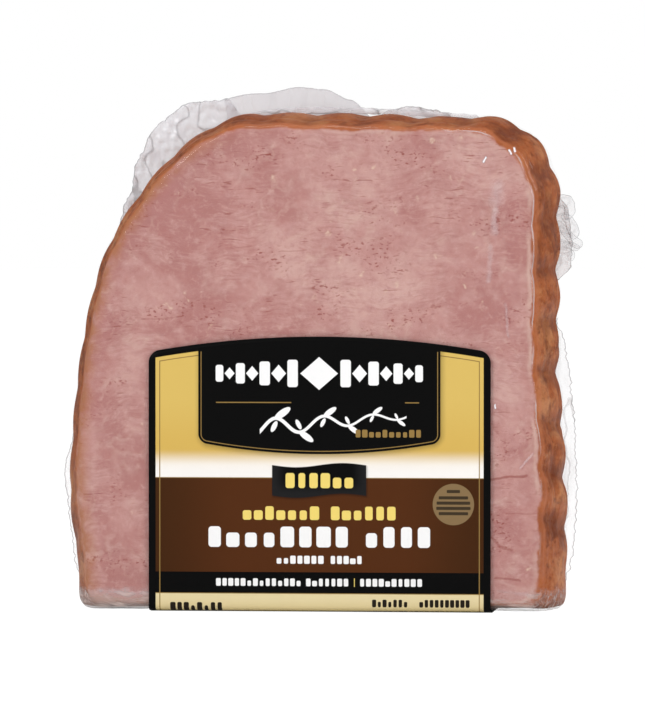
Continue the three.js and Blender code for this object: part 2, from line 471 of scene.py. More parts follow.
@dataclass(frozen=True)
class Outline:
    """Stations round the widest part of the slab, anticlockwise from the middle of the base.

    Attributes:
        x: Where each station is.
        z: How high it is.
        nx: Its outward normal across.
        nz: Its outward normal up.
        run: Its share of the way round.
        bearing: Degrees from +X round the hub, rising anticlockwise from the first station.
    """

    x: np.ndarray
    z: np.ndarray
    nx: np.ndarray
    nz: np.ndarray
    run: np.ndarray
    bearing: np.ndarray


@dataclass(frozen=True)
class SlabForm:
    """The outline of the slab in its film and the bulge of its rim.

    Attributes:
        shift: Where the design's own middle lies in the frame.
        base: Height of the flat underside, where the label is under it.
        sag: How far the round underside would hang below the flat one.
        depth: From the front cut face to the back one.
        widest: How far behind the middle the slab is widest.
        middle: What the outline shrinks towards.
        hub: What bearings turn about.
        front_inset: Share of the outline by which the front face is smaller than the widest ring.
        back_inset: The same at the back.
        edge_radius: Rounding of the cut edges.
        lobes: How many lobes the net leaves round the rim.
        lobe_right: How deep the net presses on the right.
        lobe_left: How deep it presses on the left.
    """

    shift: Vector
    base: float = 0.7 * MM
    sag: float = 1.4 * MM
    depth: float = 54.0 * MM
    widest: float = 3.0 * MM
    middle: Point = (0.0, 86.0 * MM)
    hub: Point = (0.0, 72.0 * MM)
    front_inset: float = 0.08
    back_inset: float = 0.095
    edge_radius: float = 1.4 * MM
    lobes: int = 35
    lobe_right: float = 1.3 * MM
    lobe_left: float = 0.5 * MM

    def curves(self) -> list[list[Point]]:
        """The outline's stretches in millimetres, as the control points of lines and Bezier curves."""
        floor = (self.base - self.sag) / MM
        top, crest = 143.6, 142.6
        return [
            [(0, floor), (63.6, floor)],
            [(63.6, floor), (68.6, floor), (68.6, floor + 5)],
            [(68.6, floor + 5), (68.6, 14), (69.5, 21), (69.5, 29)],
            [(69.5, 29), (69.5, 44), (67.4, 54), (67, 76)],
            [(67, 76), (67, 119)],
            [(67, 119), (67, 131.5), (58, crest), (44, crest)],
            [(44, crest), (25.5, crest), (15, top), (-20.5, top)],
            [(-20.5, top), (-37.6, top), (-54.8, 124), (-63.9, 106)],
            [(-63.9, 106), (-73, 88), (-75.8, 46), (-75.8, 36)],
            [(-75.8, 36), (-75.8, 22), (-72.9, 16), (-72.9, floor + 5)],
            [(-72.9, floor + 5), (-72.9, floor), (-67.9, floor)],
            [(-67.9, floor), (0, floor)],
        ]

    def outline(self, count: int, inside: float = 0.0) -> Outline:
        """Stations at equal steps round the outline.

        Each curve is summed from its Bernstein terms, C(n, k) t^k (1 - t)^(n - k) times control point k.
        The whole is then resampled by its length. The normal is the tangent turned by a right angle.

        Args:
            count: How many stations.
            inside: How far inside the film's outline they lie.

        Returns:
            The stations.
        """
        t = np.linspace(0.0, 1.0, 240, endpoint=False)[:, None]
        pieces = []
        for control in self.curves():
            n = len(control) - 1
            terms = (math.comb(n, k) * t**k * (1 - t) ** (n - k) * np.array(p) for k, p in enumerate(control))
            pieces.append(sum(terms))
        path = np.concatenate([*pieces, pieces[0][:1]]) * MM
        run = np.concatenate([[0.0], np.cumsum(np.linalg.norm(np.diff(path, axis=0), axis=1))])
        share = np.arange(count) / count
        x = np.interp(share * run[-1], run, path[:, 0])
        z = np.interp(share * run[-1], run, path[:, 1])
        along = np.stack([np.roll(x, -2) - np.roll(x, 2), np.roll(z, -2) - np.roll(z, 2)])
        along /= np.linalg.norm(along, axis=0)
        nx, nz = along[1], -along[0]
        x, z = x - nx * inside, z - nz * inside
        turned = np.degrees(np.unwrap(np.arctan2(z - self.hub[1], x - self.hub[0])))
        return Outline(x, z, nx, nz, share, turned)

    def lobe_dents(self, outline: Outline) -> np.ndarray:
        """How deep the net presses at each station: the depth times 1 - |sine| of the way along a lobe."""
        depth = lerp(self.lobe_left, self.lobe_right, (1.0 + outline.nx) / 2.0)
        lobe = np.sqrt(np.sin(math.pi * self.lobes * outline.run) ** 2 + 0.012)
        return depth * np.maximum(0.0, 1.0 - lobe) * smoothstep(6 * MM, 24 * MM, outline.z)

    def inset(self, y: np.ndarray) -> np.ndarray:
        """The share by which the outline shrinks at a depth: a parabola from the widest ring to each face."""
        face = np.where(y < self.widest, -self.depth / 2, self.depth / 2)
        most = np.where(y < self.widest, self.front_inset, self.back_inset)
        return most * ((y - self.widest) / (face - self.widest)) ** 2

    def rings(self, face_rings: int, edge_rings: int, rim: np.ndarray, inside: float = 0.0) -> np.ndarray:
        """The rings' depths, shrinking shares and distances from the cut edge, from the back to the front.

        Args:
            face_rings: Rings on each cut face, closer together towards its edge.
            edge_rings: Rings round each cut edge.
            rim: Depths of the rings on the rim, from back to front.
            inside: How far inside the film the faces lie.

        Returns:
            One row for each ring: depth, share, and distance from the cut edge, negative on a face.
        """
        face = self.depth / 2 - inside
        rounding = self.edge_radius / self.hub[1]
        rows = []
        for side in (1.0, -1.0):
            inset = float(self.inset(np.array(side * self.depth / 2)))
            out = np.linspace(0.02, 1.0, face_rings, endpoint=False) ** 0.6
            share = lerp(np.ones_like(out), inset + rounding, out)
            distance = -(share - inset - rounding) * self.hub[1]
            flat = np.stack([np.full_like(out, side * face), share, distance - self.edge_radius], axis=1)
            angle = np.linspace(0.0, math.pi / 2, edge_rings)
            y = side * (face - self.edge_radius * (1.0 - np.cos(angle)))
            edge_share = self.inset(y) + rounding * (1.0 - np.sin(angle))
            turn = self.edge_radius * (angle - math.pi / 4)
            bent = np.stack([y, edge_share, turn], axis=1)
            rows.append(np.concatenate([flat, bent]))
        edge = face - self.edge_radius
        rim = rim[np.abs(rim) < edge - 0.2 * MM]
        reach = self.edge_radius + edge - np.abs(rim)
        between = np.stack([rim, self.inset(rim), reach], axis=1)
        return np.concatenate([rows[0], between, rows[1][::-1]])

    def skin(
        self, outline: Outline, rings: np.ndarray, dent: np.ndarray, square: float, low: np.ndarray
    ) -> np.ndarray:
        """The points of a closed skin.

        A ring is the outline, pressed in by dent along its normal, then drawn towards the middle by the
        ring's share. The underside is drawn up less, by the square share, and nothing goes below low.

        Args:
            outline: The stations.
            rings: Rows of depth, share and distance from the cut edge.
            dent: How far each ring and station is pressed in.
            square: How much squarer the underside is than the rest of the rim, from 0 to 1.
            low: The lowest height at each station.

        Returns:
            The points, rings by stations by x, y, z.
        """
        depth, share = rings[:, :1], rings[:, 1:2]
        x = lerp(outline.x - outline.nx * dent, self.middle[0], share)
        down = np.maximum(0.0, -outline.nz)
        rise = share * (1.0 - square * down * (1.0 - smoothstep(0.2, 0.6, share)))
        z = np.maximum(lerp(outline.z - outline.nz * dent, self.middle[1], rise), low)
        y = np.broadcast_to(depth, x.shape)
        return np.stack([x, y, z], axis=-1) + np.array(self.shift)


# ---------------------------------------------------------------------------------------------------------
# The ham
# ---------------------------------------------------------------------------------------------------------


@dataclass(frozen=True)
class CuredHam:
    """The finish of the ham: mottled pink flesh on the cuts and brown smoked rind on the rim.

    Beyond the colours, deep lists darker areas of the flesh, or paler ones where the strength is below
    zero, and clefts its dark clefts. Each has its two ends, across and up, and its reach, in millimetres,
    and its strength.
    """

    flesh: Colour = (0.530, 0.285, 0.262)
    flesh_light: Colour = (0.640, 0.410, 0.370)
    flesh_dark: Colour = (0.420, 0.183, 0.170)
    seam: Colour = (0.660, 0.470, 0.400)
    fat: Colour = (0.720, 0.540, 0.420)
    speck: Colour = (0.270, 0.060, 0.050)
    rind: Colour = (0.345, 0.092, 0.026)
    rind_dark: Colour = (0.135, 0.028, 0.008)
    rind_light: Colour = (0.470, 0.190, 0.075)
    rind_pink: Colour = (0.460, 0.145, 0.060)
    golden: Colour = (0.400, 0.160, 0.072)
    deep: tuple[tuple[tuple[Point, Point], float, float], ...] = (
        (((-42.0, 108.0), (-20.0, 126.0)), 32.0, 1.05),
        (((58.0, 92.0), (60.0, 20.0)), 17.0, 0.42),
        (((-62.0, 60.0), (-58.0, 88.0)), 12.0, 0.40),
        (((-50.0, 97.0), (-42.0, 91.0)), 10.0, -0.80),
        (((-2.0, 92.0), (26.0, 96.0)), 14.0, -0.50),
    )
    clefts: tuple[tuple[tuple[Point, Point], float, float], ...] = (
        (((48.0, 37.9), (62.6, 39.2)), 0.55, 0.62),
        (((57.0, 28.4), (65.0, 28.8)), 0.35, 0.30),
        (((53.2, 21.8), (55.0, 19.2)), 0.60, 0.42),
        (((55.0, 19.2), (58.6, 18.2)), 0.60, 0.46),
        (((46.0, 56.8), (50.5, 57.4)), 0.45, 0.42),
        (((54.0, 10.2), (61.0, 9.4)), 0.55, 0.50),
        (((-47.0, 83.8), (-36.0, 84.4)), 0.35, 0.30),
        (((-8.0, 103.2), (0.0, 103.6)), 0.30, 0.28),
    )

    def flesh_colour(self, tree: Tree, place: bpy.types.NodeSocket) -> bpy.types.NodeSocket:
        """The cut flesh: soft muscle patches between pale seams, fibre streaks, fat flecks, grit and cracks.

        Args:
            tree: The material's tree.
            place: The place in millimetres.

        Returns:
            The colour.
        """
        warped = tree.warped(place, 5.0, 18.0)
        bent = tree.warped(place, 0.8, 6.0)
        inputs = {"Vector": warped, "Scale": 1 / 15.0, "Smoothness": 0.6}
        muscle = tree.node("ShaderNodeTexVoronoi", {"feature": "SMOOTH_F1"}, inputs)
        tone = tree.parts(muscle.outputs["Color"])[0]
        patch = (tone - 0.5) * 0.50 + (tree.noise(warped, 17.0, 3.0, 0.55) - 0.5) * 2.2
        for (start, end), width, strength in self.deep:
            patch = patch - tree.segment(warped, start, end).step(width, 0.0) * strength * 0.5
        colour = tree.blend(patch.step(0.0, 0.55) * 0.60, self.flesh, self.flesh_light)
        colour = tree.blend((0.0 - patch).step(0.0, 0.50) * 0.75, colour, self.flesh_dark)

        middling = tree.noise(tree.scaled(warped, (0.7, 1.0, 1.0)), 5.5, 3.0, 0.6)
        colour = tree.blend(middling.step(0.5, 0.68) * 0.36, colour, self.flesh_light)
        colour = tree.blend(middling.step(0.5, 0.32) * 0.40, colour, self.flesh_dark)

        fine = tree.noise(tree.warped(place, 1.5, 4.0), 2.2, 6.0, 0.70)
        colour = tree.blend(fine.step(0.5, 0.70) * 0.45, colour, self.flesh_light)
        colour = tree.blend(fine.step(0.5, 0.30) * 0.45, colour, self.flesh_dark)

        wisp = abs(tree.noise(tree.warped(place, 3.0, 9.0), 13.0, 3.0, 0.5) - 0.5)
        gate = tree.noise(place, 10.0, 2.0).step(0.46, 0.64)
        colour = tree.blend(wisp.step(0.040, 0.0) * gate * 0.26, colour, self.seam)

        fibre = tree.noise(tree.scaled(warped, (0.10, 1.0, 1.0)), 0.8, 3.0, 0.6)
        streak = tree.noise(place, 14.0, 1.0).step(0.38, 0.60)
        colour = tree.blend(fibre.step(0.50, 0.70) * streak * 0.50, colour, self.flesh_dark)
        colour = tree.blend(fibre.step(0.50, 0.28) * streak * 0.40, colour, self.flesh_light)

        flecks = tree.noise(tree.warped(place, 2.5, 5.0), 3.8, 3.0, 0.55).step(0.63, 0.74)
        colour = tree.blend(flecks * tree.noise(place, 22.0, 1.0).step(0.45, 0.60) * 0.75, colour, self.fat)

        away, (_, chance, _) = tree.spots(place, 3.0)
        crowd = tree.noise(place, 12.0, 1.0).step(0.42, 0.60)
        pore = away.step(0.15, 0.06) * chance.step(0.40, 0.66) * crowd
        colour = tree.blend(pore * 0.80, colour, self.speck)

        grit = tree.noise(tree.scaled(tree.warped(place, 0.6, 2.0), (0.6, 1.0, 1.0)), 0.75, 2.0, 0.5)
        crowd = tree.noise(tree.scaled(place, (0.6, 1.0, 1.0)), 9.0, 2.0).step(0.50, 0.66)
        colour = tree.blend(grit.step(0.57, 0.66) * crowd * 0.75, colour, self.speck)

        crack = tree.noise(tree.scaled(tree.warped(place, 1.0, 7.0), (0.20, 1.0, 1.7)), 1.0, 2.0, 0.4)
        crowd = tree.noise(place, 15.0, 1.0).step(0.46, 0.60)
        colour = tree.blend(crack.step(0.66, 0.72) * crowd * 0.55, colour, self.speck)
        for (start, end), width, strength in self.clefts:
            away = tree.segment(bent, start, end)
            colour = tree.blend(away.step(width, width * 0.2) * strength, colour, self.speck)
        return colour

    def rind_colour(self, tree: Tree, place: bpy.types.NodeSocket, edge: Value) -> bpy.types.NodeSocket:
        """The smoked rind: mottled brown, darker along the top, and with a pinker first slice at the cut.

        Args:
            tree: The material's tree.
            place: The place in millimetres.
            edge: Millimetres from the cut edge.

        Returns:
            The colour.
        """
        warped = tree.scaled(tree.warped(place, 3.0, 9.0), (1.0, 0.35, 1.0))
        drawn = tree.scaled(tree.warped(place, 0.8, 2.5), (1.0, 0.45, 1.0))
        broad = tree.noise(warped, 9.0, 3.0)
        colour = tree.blend(broad.step(0.50, 0.68) * 0.85, self.rind, self.rind_light)
        colour = tree.blend(broad.step(0.50, 0.32) * 0.80, colour, self.rind_dark)
        spots = tree.noise(warped, 3.2, 4.0, 0.62)
        colour = tree.blend(spots.step(0.52, 0.68) * 0.70, colour, self.rind_dark)
        colour = tree.blend(spots.step(0.44, 0.28) * 0.50, colour, self.rind_light)
        grain = tree.noise(drawn, 1.3, 4.0, 0.65)
        colour = tree.blend(grain.step(0.50, 0.70) * 0.45, colour, self.rind_light)
        colour = tree.blend(grain.step(0.50, 0.32) * 0.50, colour, self.rind_dark)
        away, (chance, _, _) = tree.spots(drawn, 2.2)
        speck = away.step(0.24, 0.08) * chance.step(0.72, 0.90)
        colour = tree.blend(speck * 0.75, colour, self.rind_dark)
        # Painted shade: the rind is darkened where the net presses it in deepest.
        dent = tree.attribute("dent")
        colour = tree.blend(dent.step(0.45, 1.25) * 0.50, colour, self.rind_dark)
        up = tree.parts(place)[2]
        colour = tree.blend(up.step(126.0, 143.0) * 0.40, colour, self.rind_dark)
        # Painted shade: a faint darkening in the lines between slices.
        slices = tree.attribute("groove")
        colour = tree.blend(slices * 0.08, colour, self.rind_dark)
        first = (edge + (tree.noise(place, 6.0, 2.0) - 0.5) * 4.0).step(4.2, 2.0)
        return tree.blend(first * 0.55, colour, self.rind_pink)

    def material(self) -> bpy.types.Material:
        """Builds the material.

        Returns:
            The ham's material.
        """
        tree = Tree("cured_ham")
        place = tree.place()
        edge = tree.attribute("edge")
        across = tree.parts(place)[0]
        left = across.step(-15.0, -45.0)
        ragged = edge + (tree.noise(place, 1.6, 4.0, 0.6) - 0.5) * 1.6
        ragged = ragged + (tree.noise(place, 9.0, 2.0) - 0.5) * 1.6 - left * 2.0
        flesh = self.flesh_colour(tree, place)
        patchy = tree.noise(place, 4.5, 3.0, 0.6).step(0.28, 0.58) * 0.65 + 0.35
        browned = ragged.step(-6.4, -0.4) * (left * 0.86 + 0.08) * patchy
        cut = tree.blend(browned, flesh, self.golden)
        gate = tree.noise(place, 12.0, 2.0).step(0.36, 0.60)
        seam = abs(ragged + 1.2).step(1.3, 0.1) * across.step(-20.0, 45.0) * gate * 0.55
        cut = tree.blend(seam, cut, self.seam)
        rind = self.rind_colour(tree, place, edge)
        # Painted shade: the far part of the rim on the left, beyond the cut edge, is darkened.
        rind = tree.blend(edge.step(2.0, 6.0) * left * 0.20, rind, self.rind_dark)
        colour = tree.blend(ragged.step(left * -0.8 - 0.9, left * 1.0 + 0.1), cut, rind)
        grain = tree.noise(place, 0.9, 4.0, 0.6) + tree.noise(place, 3.5, 2.0) * 0.8
        wet = tree.noise(place, 7.0, 2.0).step(0.35, 0.7)
        shader = tree.node(
            "ShaderNodeBsdfPrincipled",
            None,
            {
                "Base Color": colour,
                "Roughness": 0.55 - wet * 0.17,
                "Specular IOR Level": 0.03,
                "Subsurface Weight": 0.12,
                "Subsurface Radius": (1.0, 0.45, 0.3),
                "Subsurface Scale": 0.002,
                "Normal": tree.bump(grain, 0.25 * MM, 0.5),
            },
        )
        return tree.finish(shader.outputs[0])


@dataclass
class Ham:
    """The slab of ham itself, under its film.

    Attributes:
        form: The slab's form.
        stations: Points round each ring.
        inside: The gap between the ham and its film.
        slice_pitch: Thickness of a slice.
        groove: How deep the line between two slices is on the rim.
        lobe_gain: How much deeper the net's dents are than the film shows them.
        strands: Depths at which the net's other strands run round the rim.
        strand_dent: How deep those press.
        square: How square the lower edge is.
    """

    form: SlabForm
    stations: int = 600
    inside: float = 0.16 * MM
    slice_pitch: float = 3.0 * MM
    groove: float = 0.07 * MM
    lobe_gain: float = 1.1
    strands: tuple[float, ...] = (-15.5 * MM, -1.0 * MM, 14.0 * MM)
    strand_dent: float = 0.35 * MM
    square: float = 0.55

    def rim_depths(self) -> np.ndarray:
        """Depths of the rim's rings: four to a slice, the first of them in the line between two slices."""
        slices = round(self.form.depth / self.slice_pitch)
        start = self.form.depth / 2
        phases = np.array([0.0, 0.14, 0.5, 0.86])
        return (start - (np.arange(slices)[:, None] + phases) * self.slice_pitch).ravel()

    def build(self) -> bpy.types.Object:
        """Builds the ham.

        On the rim the outline is pressed in by the net's strands both ways, by the lines between slices and
        by noise at three sizes. The cut faces are flat but for a faint unevenness.

        Returns:
            The piece.
        """
        form = self.form
        outline = form.outline(self.stations, self.inside)
        rings = form.rings(26, 4, self.rim_depths(), self.inside)
        depth, edge = rings[:, :1], rings[:, 2:3]
        shape = (len(rings), self.stations)
        flat = np.zeros(shape)
        low = np.full(self.stations, form.base + 0.15 * MM)
        plain = form.skin(outline, rings, flat, self.square, low)

        on_rim = smoothstep(-6 * MM, 1.5 * MM, edge)
        lobes = form.lobe_dents(outline) * self.lobe_gain
        lobes = lobes * lerp(0.55, 1.0, smoothstep(-2 * MM, 12 * MM, edge))
        strand = sum(np.exp(-(((depth - at) / (2.4 * MM)) ** 2)) for at in self.strands)
        strand = strand * self.strand_dent * smoothstep(6 * MM, 24 * MM, outline.z)
        uneven = wave_noise(plain, 24 * MM, 11) * 0.45 + wave_noise(plain, 10 * MM, 12) * 0.28
        uneven += wave_noise(plain, 4.5 * MM, 13) * 0.10
        between = np.abs(((depth - form.depth / 2) / self.slice_pitch) % 1.0 - 0.5) > 0.49
        notch = np.where(between, 1.0, 0.0) * smoothstep(-0.6, 0.8, wave_noise(plain, 30 * MM, 14))
        notch = notch * smoothstep(1.6 * MM, 3.0 * MM, edge)
        loose = lerp(0.25, 1.0, smoothstep(-30 * MM, 50 * MM, outline.x))
        sunk = np.maximum(0.0, uneven + 0.25) * 0.6 * MM * loose
        dent = (lobes + strand + sunk) * on_rim + notch * self.groove
        points = form.skin(outline, rings, dent, self.square, low)
        relief = wave_noise(plain, 13 * MM, 15) * 0.5 + wave_noise(plain, 30 * MM, 16)
        on_face = smoothstep(0.0, -5 * MM, edge)
        points[..., 1] -= np.sign(depth) * on_face * (0.5 + 0.3 * relief).clip(0.0) * 0.3 * MM

        surface = loft(points)
        ones = np.ones(self.stations)
        for name, grid in (("edge", edge / MM * ones), ("dent", dent / MM), ("groove", notch)):
            surface.values[name] = np.concatenate([grid.ravel(), np.array([grid[0, 0], grid[-1, 0]])])
        piece = surface.make("ham_slab")
        piece.data.materials.append(CuredHam().material())
        return piece


# ---------------------------------------------------------------------------------------------------------
# The clear film
# ---------------------------------------------------------------------------------------------------------


@dataclass(frozen=True)
class TightFilm:
    """The shrunk film's finish: clear and glossy, milky at the foot, pale crease lines, painted sheens and
    glints.

    Attributes:
        milk: Colour of the haze at the foot.
        sheen: Colour of the pale crease lines and of the painted sheens, glints and edge highlight.
        shine: What the film mirrors at a glancing angle.
        creases_and_painted_sheens: Pale crease lines and painted sheen streaks on the front: the two ends of
        each across and up, and its reach, in millimetres, and its strength.
        painted_glints: Short painted glints on the front, given in the same way.
    """

    milk: Colour = (0.72, 0.58, 0.54)
    sheen: Colour = (0.98, 0.96, 1.00)
    shine: Colour = (0.95, 0.90, 0.86)
    creases_and_painted_sheens: tuple[tuple[tuple[Point, Point], float, float], ...] = (
        (((54.4, 121.5), (54.0, 117.0)), 3.0, 0.20),
        (((54.0, 119.0), (53.4, 108.5)), 1.6, 0.22),
        (((52.4, 104.5), (52.0, 95.0)), 1.3, 0.14),
        (((64.6, 46.0), (61.0, 41.5)), 0.50, 0.26),
        (((56.6, 88.0), (57.6, 79.0)), 0.60, 0.16),
    )
    painted_glints: tuple[tuple[Point, Point], ...] = (
        ((50.4, 128.6), (50.9, 129.6)),
        ((57.6, 131.6), (58.3, 130.8)),
        ((59.0, 132.3), (59.4, 131.5)),
        ((54.0, 58.6), (54.0, 59.5)),
        ((7.2, 141.4), (7.4, 141.7)),
        ((9.0, 141.2), (9.2, 141.7)),
    )

    def material(self) -> bpy.types.Material:
        """Builds the material.

        Returns:
            The tight film's material.
        """
        tree = Tree("tight_film")
        place = tree.place()
        x, y, z = tree.parts(place)
        edge = tree.attribute("edge")
        front = y.step(-18.0, -24.0)
        waver = tree.noise(place, 3.0, 2.0)
        flat = tree.node("ShaderNodeCombineXYZ", None, {0: x, 2: z}).outputs[0]
        flat = tree.warped(flat, 0.9, 4.0)

        foot = (z + (waver - 0.5) * 3.0).step(7.5, 4.0)
        folds = tree.noise(tree.scaled(tree.warped(place, 3.0, 14.0), (0.16, 1.0, 1.3)), 1.6, 3.0)
        haze = foot * (0.10 + folds.step(0.42, 0.68) * 0.40 + x.step(-20.0, -60.0) * 0.25)
        # Pale crease lines in the film, and painted sheen streaks: whitish haze laid over the front.
        for (start, end), width, strength in self.creases_and_painted_sheens:
            line = tree.segment(flat, start, end)
            haze = haze.at_least(line.step(width, 0.0) * front * (waver * strength * 1.6))
        # Painted glints: short bright white marks on the front.
        for start, end in self.painted_glints:
            haze = haze.at_least(tree.segment(flat, start, end).step(0.45, 0.1) * front * 0.9)

        # Painted highlight: a broken pale line along the cut edge on the right, where the film's ridge
        # catches light.
        rim = abs(edge + (tree.noise(place, 8.0, 1.0) - 0.5) * 1.4 + 0.2)
        lit = tree.noise(place, 11.0, 1.0).step(0.40, 0.62) * z.step(10.0, 30.0)
        haze = haze.at_least(rim.step(0.34, 0.08) * lit * x.step(20.0, 55.0) * 0.32)

        ripple = tree.noise(tree.scaled(place, (1.0, 0.35, 0.35)), 2.6, 3.0, 0.55)
        bumps = ripple + tree.noise(place, 12.0, 1.0) * 1.5
        relief = tree.bump(bumps, 0.14 * MM, 1.0)
        broken = tree.noise(place, 7.0, 2.0).step(0.40, 0.66) * edge.step(4.0, -1.0).at_least(0.25)
        glance = tree.glance(relief) * 0.07 + broken * 0.022 + 0.004
        shine = tree.node(
            "ShaderNodeBsdfPrincipled",
            None,
            {"Base Color": self.shine, "Metallic": 1.0, "Roughness": 0.10, "Normal": relief},
        )
        clear = tree.node("ShaderNodeBsdfTransparent")
        gloss = tree.mixed(glance, clear.outputs[0], shine.outputs[0])
        milk = tree.blend(foot, self.sheen, self.milk)
        inputs = {"Base Color": milk, "Roughness": 0.3, "Normal": relief}
        milky = tree.node("ShaderNodeBsdfPrincipled", None, inputs)
        return tree.finish(tree.mixed(haze, gloss, milky.outputs[0]))


@dataclass
class TightBag:
    """The film shrunk on the ham.

    Attributes:
        form: The slab's form.
        stations: Points round each ring.
        lobe_gain: How deep the film follows the net's dents, against the design's.
        square: How square the lower edge is: the film bridges where the ham turns under.
        label_half: Half the width over which the film stands on the label.
        lift: How far off the surface it stands beyond the label.
        ripple: Size of the fine puckers round the rim.
    """

    form: SlabForm
    stations: int = 600
    lobe_gain: float = 0.72
    square: float = 0.7
    label_half: float = 50.0 * MM
    lift: float = 0.1 * MM
    ripple: float = 0.10 * MM

    def build(self) -> bpy.types.Object:
        """Builds the film as one closed skin.

        The rim follows the net's dents less deeply than the ham does and is puckered by noise. Beyond the
        label the film comes down to the surface that the pack stands on.

        Returns:
            The piece.
        """
        form = self.form
        outline = form.outline(self.stations)
        rim = np.arange(-form.depth / 2, form.depth / 2, 1.2 * MM)[::-1]
        rings = form.rings(14, 6, rim)
        edge = rings[:, 2:3]
        beyond = smoothstep(self.label_half, self.label_half + 4 * MM, np.abs(outline.x))
        low = lerp(form.base, self.lift, beyond)
        plain = form.skin(outline, rings, np.zeros((len(rings), self.stations)), self.square, low)
        stretched = plain * np.array([1.0, 0.45, 1.0])
        pucker = wave_noise(stretched, 5 * MM, 21) + 0.6 * wave_noise(stretched, 2.5 * MM, 22)
        pucker = (0.5 + 0.4 * pucker).clip(0.0) * self.ripple * smoothstep(-0.5 * MM, 3 * MM, edge)
        dent = form.lobe_dents(outline) * self.lobe_gain * smoothstep(-8 * MM, 4 * MM, edge) + pucker
        points = form.skin(outline, rings, dent, self.square, low)
        surface = loft(points)
        spread = np.broadcast_to(edge / MM, dent.shape)
        surface.values["edge"] = np.concatenate([spread.ravel(), np.array([edge[0, 0], edge[-1, 0]]) / MM])
        piece = surface.make("tight_film")
        piece.data.materials.append(TightFilm().material())
        return piece


@dataclass(frozen=True)
class LooseFilm:
    """The finish of the film that stands off the pack: clear or milky, pale folds, painted grey crease lines
    and edges.

    Attributes:
        name: The material's name.
        haze: How milky it is between its folds.
        folds: How much its folds add.
        grey: How dark its outer edge is.
        outline: How much painted grey shade it gets where it turns away.
        milk: The colour of its haze.
        fold: The grey of its painted shade: its crease lines, its outer edge and where it turns away.
        slant: How fold lines run: how much finer the pattern is along the rim than away from it.
    """

    name: str
    haze: float = 0.30
    folds: float = 0.40
    grey: float = 0.35
    outline: float = 0.30
    milk: Colour = (0.80, 0.78, 0.82)
    fold: Colour = (0.42, 0.42, 0.43)
    slant: tuple[float, float, float] = (1.0, 0.3, 1.0)

    def material(self) -> bpy.types.Material:
        """Builds the material, whose chart runs along the rim and away from it.

        Returns:
            The loose film's material.
        """
        tree = Tree(self.name)
        chart = tree.node("ShaderNodeUVMap", {"uv_map": "chart"}).outputs[0]
        chart = tree.scaled(chart, (1.0 / MM, 1.0 / MM, 0.0))
        rim = tree.attribute("rim")
        pattern = tree.scaled(tree.warped(chart, 1.6, 6.0), self.slant)
        folds = tree.noise(pattern, 4.0, 3.0, 0.55)
        crease = abs(tree.noise(pattern, 7.5, 1.0) - 0.5).step(0.022, 0.002)
        sheen = folds.step(0.44, 0.72)
        line = rim.step(0.45, 0.10)
        veil = self.haze + sheen * self.folds * 0.5 + crease * self.folds * 0.8 + line * self.grey
        # Painted shade: dark crease lines and a grey line along the outer edge.
        shade = crease * self.folds * 1.8 + line * 0.7
        colour = tree.blend(shade.at_most(1.0), self.milk, self.fold)
        relief = tree.bump(folds + crease * 0.4, 0.20 * MM, 0.6)
        milky = tree.node(
            "ShaderNodeBsdfPrincipled", None, {"Base Color": colour, "Roughness": 0.22, "Normal": relief}
        )
        clear = tree.node("ShaderNodeBsdfTransparent")
        both = tree.mixed(veil.at_most(0.93), clear.outputs[0], milky.outputs[0])
        # Painted shade: the film is mixed towards the dark fold grey where it turns away from the view.
        facing = tree.node("ShaderNodeLayerWeight", None, {"Blend": 0.5}).outputs["Facing"]
        turned = Value(tree, facing).step(0.38, 0.92) * self.outline
        dim = tree.node("ShaderNodeBsdfPrincipled", None, {"Base Color": self.fold, "Roughness": 0.3})
        return tree.finish(tree.mixed(turned, both, dim.outputs[0]))


